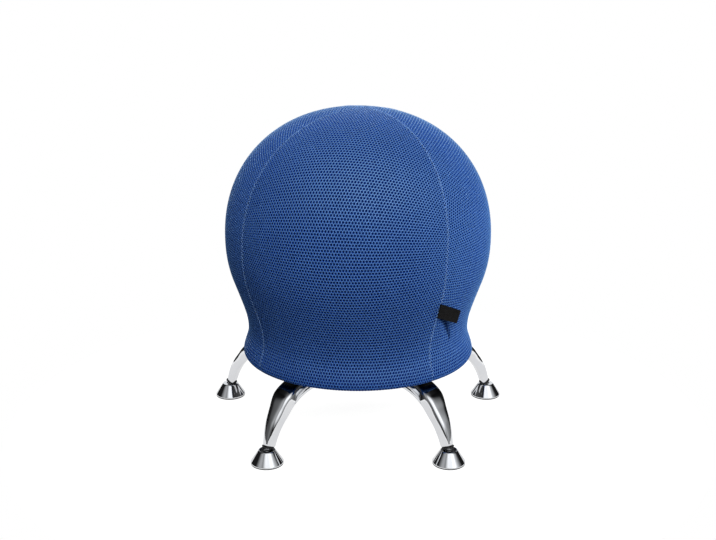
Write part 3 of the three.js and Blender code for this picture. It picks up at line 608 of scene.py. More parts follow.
def strand_gloss(tree, depth):
    """Gloss on faces that look up a little, in slanted strands on the crests between eyelets."""
    normal = add_node(tree, "NewGeometry").outputs["Normal"]
    risen = fade(tree, z_part(tree, normal), 0.22, 0.5, 0.85)
    crest = math_node(tree, "SUBTRACT", 1, depth)
    per_turn = (CLOTH_LENGTH / EYELET_PITCH, CLOTH_LENGTH / (2 * EYELET_ROW), 0)
    rows = dot_product(tree, coordinates(tree, "UV"), per_turn)
    turns = math_node(tree, "ADD", rows, -per_turn[0] / 2 - 0.25)
    wave = math_node(tree, "COSINE", math_node(tree, "MULTIPLY", turns, 2 * math.pi))
    strand = math_node(tree, "MULTIPLY_ADD", wave, -STRAND_GLOSS, STRAND_GLOSS)
    return math_node(tree, "MULTIPLY", math_node(tree, "MULTIPLY", risen, crest), strand)


def cover_material(name, light):
    """Knitted face net: blue yarn, with a painted highlight of pale blue on the crests, deeper between
    them, painted navy shade in the eyelets and the crease, and painted shade towards the hem. A light
    share above 1 lifts the yarn tones as painted light and raises the sheen."""
    material, tree, shader = new_material(name)
    place = coordinates(tree)
    well = attribute(tree, "well")
    depth = fade(tree, well, 0, WELL_CREST)
    fibres = noise(tree, 900, place, 2)
    # Painted light: the side gores' yarn tones are lifted
    low, high = ([light * part for part in tone] for tone in YARN_TONES)
    yarn = ramp(tree, noise(tree, 14, place, 4), (0.3, low), (0.7, high))
    # Painted highlight on the crests, flecked by the fibres
    crest = mix_colour(tree, spread(tree, fibres, 0.45, 1.0), yarn, CREST_HIGHLIGHT_TONE)
    cloth = mix_colour(tree, depth, crest, yarn)
    # Painted shade down the eyelets, then along the crease
    colour = mix_colour(tree, fade(tree, well, WELL_CREST, WELL_DARK), cloth, EYELET_SHADE_TONE)
    colour = mix_colour(tree, attribute(tree, "crease"), colour, CREASE_SHADE_TONE)
    # Painted shade towards the hem
    shade = ramp(tree, z_part(tree, place), (HEM[1], HEM_SHADE_TONE), (HEM[1] + HEM_SHADE_RISE, (1, 1, 1)))
    fill(tree, shader, {
        "Base Color": mix_colour(tree, 1, colour, shade, "MULTIPLY"),
        "Roughness": 0.33,
        "IOR": 1.5,
        "Specular IOR Level": strand_gloss(tree, depth),
        "Specular Tint": (0.5, 0.8, 1),
        "Sheen Weight": CLOTH_SHEEN * light,
        "Sheen Roughness": 0.28,
        "Sheen Tint": (0.36, 0.64, 1),
        "Normal": bump(tree, fibres, 0.15 * MM),
    })
    return material


def label_material():
    """Black woven ribbon with fine ribs across."""
    material, tree, shader = new_material("label_ribbon")
    place = coordinates(tree, "UV")
    grain = noise(tree, 60, place, 3)
    wave = {"Scale": 24, "Distortion": 0.6, "Vector": place}
    ribs = add_node(tree, "TexWave", wave, bands_direction="Y").outputs["Fac"]
    fill(tree, shader, {
        "Base Color": ramp(tree, grain, (0.3, LABEL_TONES[0]), (0.75, LABEL_TONES[1])),
        "Roughness": spread(tree, grain, 0.5, 0.7),
        "Specular IOR Level": 0.12,
        "Normal": bump(tree, ribs, 0.08 * MM),
    })
    return material


def chrome_material(name, waviness, shaded_above=None):
    """Polished plating: near mirror, with a faint cast waviness and handling marks. Upward faces
    above the given height are darker, in the shade of the cover."""
    material, tree, shader = new_material(name)
    place = coordinates(tree)
    smudge = noise(tree, 26, place, 5, 0.6)
    colour = ramp(tree, smudge, (0.25, CHROME_TONES[0]), (0.8, CHROME_TONES[1]))
    if shaded_above:
        spot = add_node(tree, "NewGeometry").outputs
        rise = math_node(tree, "SUBTRACT", z_part(tree, spot["Position"]), shaded_above)
        high = fade(tree, math_node(tree, "DIVIDE", rise, LEG_SHADE_RISE), 0, 1)
        level = fade(tree, z_part(tree, spot["Normal"]), 0.55, 0.85)
        colour = mix_colour(tree, math_node(tree, "MULTIPLY", high, level), colour, LEG_SHADE_TONE)
    fill(tree, shader, {
        "Base Color": colour,
        "Metallic": 1,
        "Roughness": spread(tree, smudge, 0.02, 0.085),
        "Normal": bump(tree, noise(tree, 34, place, 2), waviness),
    })
    return material


def plain_material(name):
    """Moulded, coated, spun or plated stock: its tone and bump vary with one fine grain, and so
    does its roughness where that is a range."""
    dark, light, (smoothest, roughest), scale, grain_depth, metallic, detail = PLAIN_STOCKS[name]
    material, tree, shader = new_material(name)
    grain = noise(tree, scale, coordinates(tree), detail)
    varies = roughest > smoothest
    fill(tree, shader, {
        "Base Color": ramp(tree, grain, (0.3, dark), (0.7, light)),
        "Metallic": metallic,
        "Roughness": spread(tree, grain, smoothest, roughest) if varies else smoothest,
        "Normal": bump(tree, grain, grain_depth),
    })
    return material


# Stage: floor, camera and light

def toward(azimuth, elevation):
    """The direction at an azimuth from the front and an elevation, in degrees."""
    turn, rise = math.radians(azimuth), math.radians(elevation)
    return Vector((math.sin(turn) * math.cos(rise), -math.cos(turn) * math.cos(rise), math.sin(rise)))


def add_camera():
    data = bpy.data.cameras.new("camera")
    data.lens = CAMERA_LENS
    camera = link("camera", data)
    back = Vector((0, -math.cos(CAMERA_ELEVATION), math.sin(CAMERA_ELEVATION)))
    camera.location = TARGET + back * CAMERA_DISTANCE
    camera.rotation_euler = (-back).to_track_quat("-Z", "Y").to_euler()
    scene.camera = camera


def add_floor(name, radius, drop, glow, seen):
    """A round white floor. The camera sees one that melts into the white beyond it, and mirrors
    meet a second one just under it, a little greyer."""
    height = FLOOR - drop
    floor = revolved(name, [(0, height), (radius, height)], closed=False, centre_y=AXIS_Y)
    material, tree, shader = new_material(name)
    grey = {"Base Color": (0.25, 0.25, 0.25), "Roughness": 0.9, "Specular IOR Level": 0}
    fill(tree, shader, {**grey, "Emission Color": (1, 1, 1), "Emission Strength": glow})
    floor.data.materials.append(material)
    floor.visible_camera = seen
    floor.visible_diffuse = False
    floor.visible_glossy = not seen


def add_light(name, azimuth, elevation, size, power, colour):
    """A soft light aimed at the ball, for the cloth. Chrome mirrors the world instead."""
    data = bpy.data.lights.new(name, "AREA")
    data.shape = "RECTANGLE"
    data.size, data.size_y = size
    data.energy = power
    data.color = colour
    light = link(name, data)
    way = toward(azimuth, elevation)
    light.location = Vector((0, AXIS_Y, BALL_CENTRE)) + way * LIGHT_DISTANCE
    light.rotation_euler = (-way).to_track_quat("-Z", "Y").to_euler()
    light.visible_glossy = False


def studio_strength(tree):
    """A dark room with soft white patches: a big softbox at the front right, dimmer fill round
    it and above, and the pale backdrop behind."""
    way = coordinates(tree, "Generated")
    total = STUDIO_DARK
    for azimuth, elevation, full, outer, strength in STUDIO_PATCHES:
        patch = add_node(tree, "MapRange", {
            "Value": dot_product(tree, way, toward(azimuth, elevation)),
            "From Min": math.cos(math.radians(outer)),
            "From Max": math.cos(math.radians(full)),
            "To Max": strength,
        }, interpolation_type="SMOOTHSTEP")
        total = math_node(tree, "ADD", patch.outputs["Result"], total)
    return total


def add_world():
    """White where the camera looks past the floor, and the studio to everything else."""
    world = bpy.data.worlds.new("studio")
    scene.world = world
    world.use_nodes = True
    tree = world.node_tree
    tree.nodes.clear()
    room = add_node(tree, "Background", {"Color": (0.96, 0.98, 1), "Strength": studio_strength(tree)})
    white = add_node(tree, "Background", {"Color": (1, 1, 1)})
    seen = add_node(tree, "LightPath").outputs["Is Camera Ray"]
    mix = add_node(tree, "MixShader", {0: seen, 1: room.outputs[0], 2: white.outputs[0]})
    add_node(tree, "OutputWorld", {"Surface": mix.outputs[0]})


def add_stage():
    add_camera()
    for floor in FLOORS:
        add_floor(*floor)
    add_world()
    for light in LIGHTS:
        add_light(*light)
    scene.view_settings.view_transform = "Standard"
    scene.view_settings.look = "None"


# Cover

def hexagon(half_width, shoulder, half_height):
    """Six corners from the top round."""
    return np.array([
        (0, half_height), (half_width, shoulder), (half_width, -shoulder),
        (0, -half_height), (-half_width, -shoulder), (-half_width, shoulder),
    ])


CELL_HALF = EYELET_PITCH / 2
CELL_SHOULDER = (EYELET_ROW ** 2 - CELL_HALF ** 2) / (2 * EYELET_ROW)
CELL = hexagon(CELL_HALF, CELL_SHOULDER, EYELET_ROW - CELL_SHOULDER)
EYELET = hexagon(EYELET_HALF[0], EYELET_HALF[1] * EYELET_SHOULDER_SHARE, EYELET_HALF[1])


def lay_on_ball(u, v):
    """Where a point of a gore's flat cloth lies: its turn from the gore's middle in radians, and
    its arc length from the apex. On the ball the columns keep their distance from the middle
    one; on the skirt the rows run level."""
    across = u * (1 + SIDE_STRETCH * (u / STRETCH_REACH) ** 2) / SPHERE
    along = v / SPHERE
    x = np.sin(across)
    y = np.cos(across) * np.sin(along)
    z = np.cos(across) * np.cos(along)
    ball_turn, ball_s = np.arctan2(x, y), np.arccos(np.clip(z, -1, 1)) * SPHERE
    radius = np.maximum(COVER.at(v)[0], 1 * MM)
    level = ease((v - EQUATOR) / (SKIRT - EQUATOR))
    turn = ball_turn + (u / radius - ball_turn) * level
    return turn, ball_s + (v - ball_s) * level


def cell_grid():
    """The flat net: centres of the eyelets' cells, staggered row by row."""
    columns = int(NET_HALF_WIDTH / EYELET_PITCH) + 1
    rows = int(CLOTH_LENGTH / EYELET_ROW) + 1
    row, column = np.mgrid[0:rows, -columns:columns + 1]
    u = (column + 0.5 * (row % 2)) * EYELET_PITCH
    v = (row + 0.5) * EYELET_ROW
    return np.stack([u.ravel(), v.ravel()], -1)


def flat_net():
    """The net laid flat: its points, how deep each is sunk, how far down its eyelet's well each
    lies, and the faces."""
    centres = cell_grid()
    corners = (centres[:, None] + CELL[None]).reshape(-1, 2)
    keys = np.round(corners / (0.01 * MM)).astype(np.int64)
    _, first, shared = np.unique(keys, axis=0, return_index=True, return_inverse=True)
    shared = shared.reshape(-1, 6)
    crests = corners[first]
    lip = (centres[:, None] + EYELET[None]).reshape(-1, 2)
    base = (centres[:, None] + EYELET[None] * EYELET_TAPER).reshape(-1, 2)
    sizes = (len(crests), len(lip), len(base))
    sink = np.repeat([0.0, EYELET_LIP, EYELET_DEPTH], sizes)
    well = np.repeat(WELL_LEVELS, sizes)
    lips = len(crests) + np.arange(len(lip)).reshape(-1, 6)
    bases = lips + len(lip)
    after = [1, 2, 3, 4, 5, 0]
    top = np.stack([shared, lips, lips[:, after], shared[:, after]], -1).reshape(-1, 4)
    wall = np.stack([lips, bases, bases[:, after], lips[:, after]], -1).reshape(-1, 4)
    return np.concatenate([crests, lip, base]), sink, well, np.concatenate([top, wall])


def crease(azimuth, s):
    """How deep the narrow crease under the label runs: 1 along its line, 0 beside it. It also sets how
    much painted shade the crease gets.
    """
    along = np.clip((s - CREASE_TOP[1]) / (CREASE_END[1] - CREASE_TOP[1]), 0, 1)
    line = np.radians(CREASE_TOP[0] + (CREASE_END[0] - CREASE_TOP[0]) * along)
    width = CREASE_WIDTH * (1 - CREASE_NARROWS * along)
    beside = np.abs(azimuth - line) * COVER.at(s)[0] / width
    past = np.maximum(CREASE_TOP[1] - s, s - CREASE_END[1]) / CREASE_WIDTH
    return (1 - ease(beside)) * (1 - ease(past))


def gore_points(flat, sink, seam):
    """Puts the flat net's points on the cover between two seams and rolls the edges in. Also
    gives each point's distance inside the seams and the crease's pull on it."""
    middle = (seam_azimuth(seam, EQUATOR) + seam_azimuth(seam + 1, EQUATOR)) / 2
    turn, s = lay_on_ball(flat[:, 0], flat[:, 1])
    azimuth = middle + turn
    radius = np.maximum(COVER.at(s)[0], 0.2 * MM)
    first, last = seam_azimuth(seam, s), seam_azimuth(seam + 1, s)
    gap_first, gap_last = (azimuth - first) * radius, (last - azimuth) * radius
    gap = np.minimum(gap_first, gap_last)
    roll = np.clip((SEAM_ROLL - gap) / SEAM_ROLL, 0, None)
    bend = np.minimum(roll, math.pi / 2)
    lateral = SEAM_ROLL * (1 - np.sin(bend)) + SEAM_SLIT
    fold = SEAM_ROLL * (1 - np.cos(bend)) + SEAM_ROLL * np.maximum(roll - math.pi / 2, 0)
    fold = np.minimum(fold, SEAM_ALLOWANCE)
    edge = np.where(gap_first < gap_last, first + lateral / radius, last - lateral / radius)
    azimuth = np.where(roll > 0, edge, azimuth)
    pulled = crease((azimuth + math.pi) % (2 * math.pi) - math.pi, s)
    depth = fold + sink * (1 - ease(bend / SEAM_FADE)) + CREASE_DEPTH * pulled
    return place_on_cover(azimuth, s, -depth), gap, pulled


def four_sided_mesh(name, points, faces):
    """A mesh straight from arrays, quick for many small faces."""
    mesh = bpy.data.meshes.new(name)
    mesh.vertices.add(len(points))
    mesh.vertices.foreach_set("co", points.astype(np.float32).ravel())
    mesh.loops.add(faces.size)
    mesh.loops.foreach_set("vertex_index", faces.astype(np.int32).ravel())
    mesh.polygons.add(len(faces))
    mesh.polygons.foreach_set("loop_start", np.arange(0, faces.size, 4, dtype=np.int32))
    mesh.update(calc_edges=True)
    return mesh


def build_gore(seam, net, material):
    flat, sink, well, faces = net
    points, gap, pulled = gore_points(flat, sink, seam)
    on_cloth = flat[:, 1] <= CLOTH_LENGTH
    inside = (gap > -SEAM_ALLOWANCE) & on_cloth & (flat[:, 1] > 0)
    faces = faces[inside[faces].any(1) & on_cloth[faces].all(1)]
    used, faces = np.unique(faces, return_inverse=True)
    faces = faces.reshape(-1, 4)
    name = f"cover_gore_{seam + 1}"
    mesh = four_sided_mesh(name, points[used], faces)
    # The well lays the painted crest highlight and eyelet shade; the crease's pull lays the crease's
    # painted shade
    for kept, values in (("well", well), ("crease", pulled)):
        layer = mesh.attributes.new(kept, "FLOAT", "POINT")
        layer.data.foreach_set("value", values[used].astype(np.float32))
    spots = (flat[used] / CLOTH_LENGTH + (0.5, 0))[faces.ravel()]
    mesh.uv_layers.new(name="OFBake").data.foreach_set("uv", spots.astype(np.float32).ravel())
    mesh.shade_smooth()
    mesh.validate()
    return settle(link(name, mesh), "chair", "cover_mesh", material, "seat_cover")


def build_back_net(material):
    """The spacer cloth's plain inner face, under the eyelets and round the hem cord."""
    outside = cover_outline(BACK_NET_DEPTH)
    inside = cover_outline(BACK_NET_INNER)
    every_fifth = slice(None, None, 5)
    line = [outside[every_fifth], outside[-1:], inside[::-1][every_fifth], inside[:1]]
    profile = [tuple(p) for p in np.concatenate(line)]
    net = revolved("cover_back_net", profile, 128, closed=False, sharp_angle=60, centre_y=AXIS_Y)
    return settle(net, "chair", "cover_mesh", material, "seat_cover")


def tube(name, path, radius, sides=6):
    """A round tube along a line of points, closed at both ends, with a steady frame."""
    way = directions(path)
    points = []
    side = np.cross(way[0], (0.31, 0.17, 0.93))
    for here, ahead in zip(path, way):
        side = side - ahead * side.dot(ahead)
        side /= np.linalg.norm(side)
        other = np.cross(ahead, side)
        for i in range(sides):
            turn = 2 * math.pi * i / sides
            points.append(here + radius * (math.cos(turn) * side + math.sin(turn) * other))
    return add_object(name, points, ring_faces(len(path), sides), 80)


def build_seam_thread(seam, material):
    """A zigzag stitch that crosses the seam and dives into the cloth at each side."""
    count = int((HEM_LENGTH - STITCH_START - STITCH_END) / STITCH_PITCH)
    t = np.linspace(0, count, count * 4 + 1)
    s = STITCH_START + t * STITCH_PITCH
    swing = 2 * np.abs((t / 2) % 1 - 0.5) * 2 - 1
    side = STITCH_REACH * np.clip(swing * STITCH_OVERSWING, -1, 1)
    radius = np.maximum(COVER.at(s)[0], 1 * MM)
    rise = np.where(np.abs(swing) > STITCH_DIVES_PAST, -THREAD_DIVE, THREAD_RISE)
    rise = rise - THREAD_RISE * (1 - np.abs(swing))
    azimuth = seam_azimuth(seam, s) + side / radius
    thread = tube(f"seam_thread_{seam + 1}", place_on_cover(azimuth, s, rise), THREAD_RADIUS)
    return settle(thread, "chair", "cover_mesh", material)


def build_cover():
    front = cover_material("cover_mesh", 1.0)
    # The side gores: a lighter copy of the cloth as painted light
    side = cover_material("cover_mesh_side", SIDE_GORE_PAINTED_LIGHT_AND_SHEEN)
    stitching = plain_material("seam_thread")
    build_back_net(plain_material("back_net"))
    net = flat_net()
    seams = range(len(SEAMS))
    gores = [build_gore(seam, net, side if seam in SIDE_GORES else front) for seam in seams]
    threads = [build_seam_thread(seam, stitching) for seam in seams]
    return gores, threads


# Label

def label_outline():
    """The folded ribbon seen from above, from one free edge round the fold and back inside."""
    inner = LABEL_FOLD_GAP / 2
    outer = inner + LABEL_PLY
    bend = LABEL_LENGTH - outer
    run = np.linspace(0, bend, 23)
    fold = np.radians(np.linspace(-90, 90, 9))[1:-1]
    halves = []
    for half in (outer, inner):
        line = [(x, -half) for x in run]
        line += [(bend + half * math.cos(a), half * math.sin(a)) for a in fold]
        halves.append(line + [(x, half) for x in run[::-1]])
    return halves[0] + halves[1][::-1]


def label_place():
    """On the cover at its seam, leaning as the cloth does there."""
    radius, _, out, up = (float(v) for v in COVER.at(COVER.length_at_height(LABEL_SEAM_HEIGHT)))
    reach = radius + LABEL_PLY + LABEL_FOLD_GAP / 2 + LABEL_STANDS_OFF
    return (
        turned(LABEL_SEAM_ANGLE, reach)
        @ Matrix.Translation((0, 0, LABEL_SEAM_HEIGHT))
        @ Matrix.Rotation(math.radians(-LABEL_LEAN_OUT), 4, "Z")
        @ Matrix.Rotation(math.atan2(-up, out), 4, "X")
    )


def build_label():
    """A folded ribbon tab whose free end curls a little, left bare."""
    outline, place = label_outline(), label_place()
    fall = math.tan(math.radians(LABEL_DROOP))
    turn, start = LABEL_CURL_TURN
    points, spots = [], []
    for k in range(LABEL_ROWS):
        up = (k / (LABEL_ROWS - 1) - 0.5) * LABEL_HEIGHT
        for x, y in outline:
            share = x / LABEL_LENGTH
            curl = LABEL_CURL * share * share * math.sin(turn * up / LABEL_HEIGHT + start)
            points.append(place @ Vector((x, y - curl, up - x * fall)))
            spots.append((share, up / LABEL_HEIGHT + 0.5))
    count = len(outline)
    faces = ring_faces(LABEL_ROWS, count, capped=False)
    for ring in (0, (LABEL_ROWS - 1) * count):
        for i in range(count // 2 - 1):
            rim = [ring + i, ring + i + 1, ring + count - 2 - i, ring + count - 1 - i]
            faces.append(rim if ring else rim[::-1])
    label = add_object("label_tab", points, faces, 50, welded=False)
    layer = label.data.uv_layers.new(name="UVMap")
    for loop in label.data.loops:
        layer.data[loop.index].uv = spots[loop.vertex_index]
    settle(label, "chair", "label_ribbon", label_material(), "cover_label")


# Ball, hem cord and plug

def build_ball():
    outside = ball_outline(0, np.linspace(0, ball_angle_at_radius(0, VALVE_HOLE), BALL_RINGS))
    at_boss = ball_angle_at_radius(-BALL_WALL, VALVE_BOSS[0])
    inside = ball_outline(-BALL_WALL, np.linspace(at_boss, 0, BALL_RINGS))
    boss_top = BALL_BOTTOM + VALVE_BOSS[1]
    boss = [(VALVE_HOLE, boss_top), (VALVE_BOSS[0], boss_top)]
    profile = [tuple(p) for p in outside] + boss + [tuple(p) for p in inside]
    ball = revolved("ball_skin", profile, closed=False, centre_y=AXIS_Y)
    settle(ball, "chair", "ball_vinyl", plain_material("ball_vinyl"), "exercise_ball")


def build_hem_cord():
    ring = [
        (HEM[0] + HEM_CORD * math.cos(a), HEM[1] + HEM_CORD * math.sin(a))
        for a in np.linspace(0, 2 * math.pi, 17)[:-1]
    ]
    cord = revolved("hem_elastic_ring", ring, 144, sharp_angle=80, centre_y=AXIS_Y)
    settle(cord, "chair", "hem_elastic", plain_material("hem_elastic"), "hem_cord")


def build_plug():
    seat = BALL_BOTTOM - FIT_GAP
    stem = VALVE_HOLE - FIT_GAP
    head, head_height = VALVE_HEAD
    nose, nose_height = PLUG_NOSE
    tip = BALL_BOTTOM + VALVE_BOSS[1] + nose_height
    profile = rounded([
        (0, seat - head_height, 0), (head, seat - head_height), (head, seat), (stem, seat, 0),
        (stem, tip - nose_height), (stem - nose, tip), (0, tip, 0),
    ], PLUG_EDGE)
    plug = revolved("valve_stopper", profile, 48, centre_y=AXIS_Y)
    settle(plug, "valve_plug", "plug", plain_material("plug"), "valve_plug")


# Legs

def leg_path():
    root_height = LEG_SEAT + LEG_PAD_TRIM - LEG_ROOT[1] / 2
    tip_radius = FOOT_CIRCLE - LEG_OFF_BALL * math.sin(STUD_LEAN)
    tip_height = STUD_BALL_HEIGHT + LEG_OFF_BALL * math.cos(STUD_LEAN)
    run = tip_radius - LEG_ROOT_RADIUS
    drop = root_height - tip_height
    points = [
        (-(LEG_ROOT_RADIUS + run * across), root_height - drop * down)
        for across, down in zip(LEG_RUN_SHARES, LEG_DROP_SHARES)
    ]
    straight = (LEG_TIP_STRAIGHT * math.sin(LEG_TIP_LEAN), LEG_TIP_STRAIGHT * math.cos(LEG_TIP_LEAN))
    points += [(straight[0] - tip_radius, straight[1] + tip_height), (-tip_radius, tip_height)]
    return catmull_rom(np.array(points), 40)


def catmull_rom(points, steps):
    """A centripetal curve through the points, as a fine line."""
    ends = [2 * points[0] - points[1], *points, 2 * points[-1] - points[-2]]
    line = []
    for k in range(1, len(ends) - 2):
        p = np.array(ends[k - 1:k + 3])
        knots = running_length(p, 0.5)
        last = k == len(ends) - 3
        for t in np.linspace(knots[1], knots[2], steps + 1)[:None if last else -1]:
            def blend(a, b, i, j):
                return ((knots[j] - t) * a + (t - knots[i]) * b) / (knots[j] - knots[i])
            a1, a2, a3 = (blend(p[i], p[i + 1], i, i + 1) for i in range(3))
            b1, b2 = blend(a1, a2, 0, 2), blend(a2, a3, 1, 3)
            line.append(blend(b1, b2, 1, 2))
    return np.array(line)


def leg_section(centre, normal, width, thickness, squareness, narrows):
    turn = 2 * math.pi * (np.arange(LEG_SIDES) + 0.5) / LEG_SIDES
    side = np.sign(np.cos(turn)) * np.abs(np.cos(turn)) ** (2 / squareness)
    rise = np.sign(np.sin(turn)) * np.abs(np.sin(turn)) ** (2 / squareness)
    x = width / 2 * side * (1 - narrows * rise)
    y = thickness / 2 * rise
    return np.stack([x, centre[0] + normal[0] * y, centre[1] + normal[1] * y], -1)


def leg_rings():
    """The leg's sections from root to tip, closer together where the ends round off."""
    line = leg_path()
    way = directions(line)
    arc = running_length(line)
    length = arc[-1]
    places = [LEG_END_ROUND * share for share in LEG_END_SHARES]
    places += list(np.linspace(LEG_END_ROUND, length - LEG_END_ROUND, LEG_STATIONS)[1:-1])
    places += [length - LEG_END_ROUND * share for share in LEG_END_SHARES[::-1]]
    rings = []
    for place in places:
        centre = np.array([np.interp(place, arc, line[:, k]) for k in (0, 1)])
        here = np.array([np.interp(place, arc, way[:, k]) for k in (0, 1)])
        normal = np.array([here[1], -here[0]]) / np.linalg.norm(here)
        to_tip = min(1, (length - place) / LEG_TAPER)
        from_end = min(place, length - place, LEG_END_ROUND) / LEG_END_ROUND
        shrink = 2 * LEG_END_ROUND * (1 - math.sqrt(1 - (1 - from_end) ** 2))
        width, thickness = (
            tip + (root - tip) * to_tip - shrink for tip, root in zip(LEG_TIP, LEG_ROOT)
        )
        squareness = LEG_SQUARENESS[1] + (LEG_SQUARENESS[0] - LEG_SQUARENESS[1]) * to_tip ** 2
        narrows = LEG_TOP_NARROWS[0] + (LEG_TOP_NARROWS[1] - LEG_TOP_NARROWS[0]) * to_tip
        ring = leg_section(centre, normal, width, thickness, squareness, narrows)
        ring[:, 2] = np.minimum(ring[:, 2], LEG_SEAT)
        rings.append(ring)
    return rings


def make_leg():
    rings = leg_rings()
    leg = add_object("leg_made", np.concatenate(rings), ring_faces(len(rings), LEG_SIDES), 42)
    recess_radius, recess = BOLT_RECESS[0], LEG_SEAT - BOLT_RECESS[1]
    low, high = recess - BOLT_RECESS_CUT, LEG_SEAT + CUT_OVERRUN
    bore = BOLT_RADIUS + FIT_GAP
    for radius in LEG_BOLT_RADII.values():
        drill = revolved("drill", [
            (0, low), (recess_radius, low), (recess_radius, recess), (bore, recess),
            (bore, high), (0, high),
        ], 40)
        drill.data.transform(Matrix.Translation((0, -radius, 0)))
        cut(leg, drill)
    return leg


def make_bolt():
    seat = LEG_SEAT - BOLT_RECESS[1] - FIT_GAP
    head, bottom = BOLT_HEAD[0], seat - BOLT_HEAD[1]
    tip = seat + BOLT_SHANK
    bolt = revolved("bolt_made", rounded([
        (0, bottom, 0), (head, bottom, BOLT_HEAD_EDGES[0]), (head, seat, BOLT_HEAD_EDGES[1]),
        (BOLT_RADIUS, seat, 0), (BOLT_RADIUS, tip, BOLT_TIP_EDGE), (0, tip, 0),
    ]), 48)
    across = BOLT_SOCKET[0] / 2 / math.cos(math.pi / 6)
    low, high = bottom - CUT_OVERRUN, bottom + BOLT_SOCKET[1]
    socket = [(0, low), (across, low), (across, high), (0, high + BOLT_SOCKET_POINT)]
    cut(bolt, revolved("socket", socket, 6))
    return bolt


def make_screw():
    seat = HUB_UNDERSIDE - FIT_GAP
    bottom = seat - SCREW_HEAD[1]
    shank = seat + SCREW_LENGTH
    screw = revolved("screw_made", rounded([
        (0, bottom, 0), (SCREW_HEAD[0], bottom, SCREW_HEAD_ROUND), (SCREW_HEAD[0], seat, 0),
        (SCREW_RADIUS, seat, 0), (SCREW_RADIUS, shank, 0), (0, shank + SCREW_RADIUS, 0),
    ], steps=6), 40)
    length, width, depth = SCREW_DRIVE
    heights = (bottom - CUT_OVERRUN / 2, bottom + depth)
    signs = ((-1, -1), (1, -1), (1, 1), (-1, 1))
    sides = [(0, 3, 2, 1), (4, 5, 6, 7), (0, 1, 5, 4), (1, 2, 6, 5), (2, 3, 7, 6), (3, 0, 4, 7)]
    for x, y in ((length / 2, width / 2), (width / 2, length / 2)):
        corners = [(sx * x, sy * y, z) for z in heights for sx, sy in signs]
        cut(screw, add_object("drive", corners, sides))
    return screw


# Feet

def make_stud():
    neck = math.asin(STUD_RADIUS / STUD_BALL)
    head = [
        (STUD_BALL * abs(math.sin(a)), STUD_BALL * math.cos(a)) for a in np.linspace(math.pi, neck, 25)
    ]
    head[0] = (0, -STUD_BALL)
    top = LEG_OFF_BALL + STUD_DEPTH
    shank = [(STUD_RADIUS, top - STUD_CHAMFER), (STUD_RADIUS - STUD_CHAMFER, top), (0, top)]
    return revolved("stud_made", head + shank, 48)


def make_collar():
    top = LEG_OFF_BALL - FIT_GAP
    bottom = top - COLLAR[1]
    bore = STUD_RADIUS + FIT_GAP
    return revolved("collar_made", rounded([
        (bore, bottom, 0), (COLLAR[0] - COLLAR_BEVEL, bottom), (COLLAR[0], bottom + COLLAR_BEVEL),
        (COLLAR[0], top), (bore, top, 0),
    ], COLLAR_EDGE), 64)


def make_cone():
    """A truncated cone over its pad, with a cup for the stud's ball. Its profile runs from the
    pad's recess up the outside and back down through the cup."""
    recess, recess_top = PAD_RADIUS + FIT_GAP, PAD_THICKNESS + FIT_GAP
    seat = STUD_BALL + FIT_GAP
    top_angle = math.acos((CONE_HEIGHT - STUD_BALL_HEIGHT) / seat)
    mouth_angle = math.asin(CONE_MOUTH / seat)
    cup = [
        (seat * math.sin(a), STUD_BALL_HEIGHT + seat * math.cos(a))
        for a in np.linspace(math.pi, max(mouth_angle, top_angle), 20)
    ]
    cup[0] = (0, STUD_BALL_HEIGHT - seat)
    fine, soft, broad = FOOT_EDGES
    outside = rounded([
        (0, recess_top, 0),
        (recess, recess_top, fine),
        (recess, CONE_SHOWS_PAD, fine),
        (CONE_BASE, CONE_SHOWS_PAD, broad),
        (CONE_BASE, CONE_SHOWS_PAD + CONE_LIP, soft),
        (CONE_TOP + CONE_FLARE, CONE_HEIGHT - CONE_SHOULDER, soft),
        (CONE_TOP - CONE_SHOULDER, CONE_HEIGHT, soft),
        (CONE_MOUTH + CONE_MOUTH_EDGE[0], CONE_HEIGHT, 0),
    ])
    mouth = [(CONE_MOUTH, CONE_HEIGHT - CONE_MOUTH_EDGE[1])]
    return revolved("cone_made", outside + mouth + cup[::-1], 112, closed=False)


def make_pad():
    broad, soft, fine = PAD_EDGES
    return revolved("pad_made", rounded([
        (0, 0, 0), (PAD_RIM, 0, broad), (PAD_RIM, PAD_RIM_TOP, soft), (PAD_RADIUS, PAD_RIM_TOP, fine),
        (PAD_RADIUS, PAD_THICKNESS, soft), (0, PAD_THICKNESS, 0),
    ]))


# Base

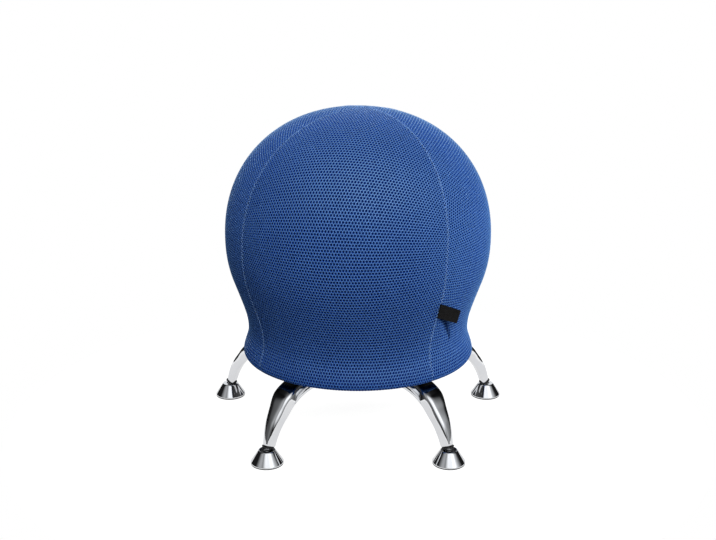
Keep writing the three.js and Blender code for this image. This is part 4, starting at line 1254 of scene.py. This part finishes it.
def base_kinds():
    """Each kind of piece, made once at the front, with its slot and material."""
    zinc = plain_material("fastener_zinc")
    return {
        "leg": (make_leg(), "leg_chrome", chrome_material("leg_chrome", 0.05 * MM, LEG_SHADE_HEIGHT)),
        "bolt": (make_bolt(), "fastener_zinc", zinc),
        "screw": (make_screw(), "fastener_zinc", zinc),
        "stud": (make_stud(), "stud_steel", plain_material("stud_steel")),
        "collar": (make_collar(), "collar_plastic", plain_material("collar_plastic")),
        "cone": (make_cone(), "cone_chrome", chrome_material("cone_chrome", 0.02 * MM)),
        "pad": (make_pad(), "pad_rubber", plain_material("pad_rubber")),
    }


def build_base():
    """Sets the kinds out round the chair."""
    def set_out(kind, place, name, body, node):
        made, slot, material = kinds[kind]
        settle(moved(made, place, name), body, slot, material, node)

    kinds = base_kinds()
    lean = Matrix.Translation((0, 0, STUD_BALL_HEIGHT)) @ Matrix.Rotation(-STUD_LEAN, 4, "X")
    for leg in range(LEG_COUNT):
        n = leg + 1
        angle = FRONT_LEG_ANGLE + (leg * 360) / LEG_COUNT
        at_foot = turned(angle, FOOT_CIRCLE)
        along_stud = at_foot @ lean
        set_out("leg", turned(angle), f"arched_leg_{n}", "chair", f"leg_{n}")
        for end, radius in LEG_BOLT_RADII.items():
            at_bolt = turned(angle, radius)
            set_out("bolt", at_bolt, f"socket_bolt_{n}_{end}", "chair", f"leg_bolt_{n}_{end}")
        set_out("stud", along_stud, f"ball_stud_{n}", "chair", f"foot_stud_{n}")
        set_out("collar", along_stud, f"stud_collar_{n}", "chair", f"foot_collar_{n}")
        set_out("cone", at_foot, f"cone_foot_{n}", f"foot_{n}", f"foot_cone_{n}")
        set_out("pad", at_foot, f"floor_pad_{n}", f"foot_{n}", f"foot_pad_{n}")
        at_screw = turned(angle + 180 / LEG_COUNT, SCREW_CIRCLE)
        set_out("screw", at_screw, f"cross_screw_{n}", "chair", f"pan_screw_{n}")
    for made, _, _ in kinds.values():
        bpy.data.objects.remove(made)


def dress_pan_and_hub():
    """The frame's own pan and hub plate show, with their materials and softened edges."""
    for node, stock in (("seat_pan", "pan_moulding"), ("hub_plate", "hub_steel")):
        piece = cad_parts[node]
        material = plain_material(stock)
        for slot in piece.material_slots:
            slot.material = material
        edge = piece.modifiers.new("edge", "BEVEL")
        edge.width = PAN_EDGE
        edge.segments = 2
        edge.limit_method = "ANGLE"
        edge.angle_limit = math.radians(40)


add_stage()
gores, threads = build_cover()
build_label()
build_ball()
build_hem_cord()
build_plug()
build_base()
dress_pan_and_hub()
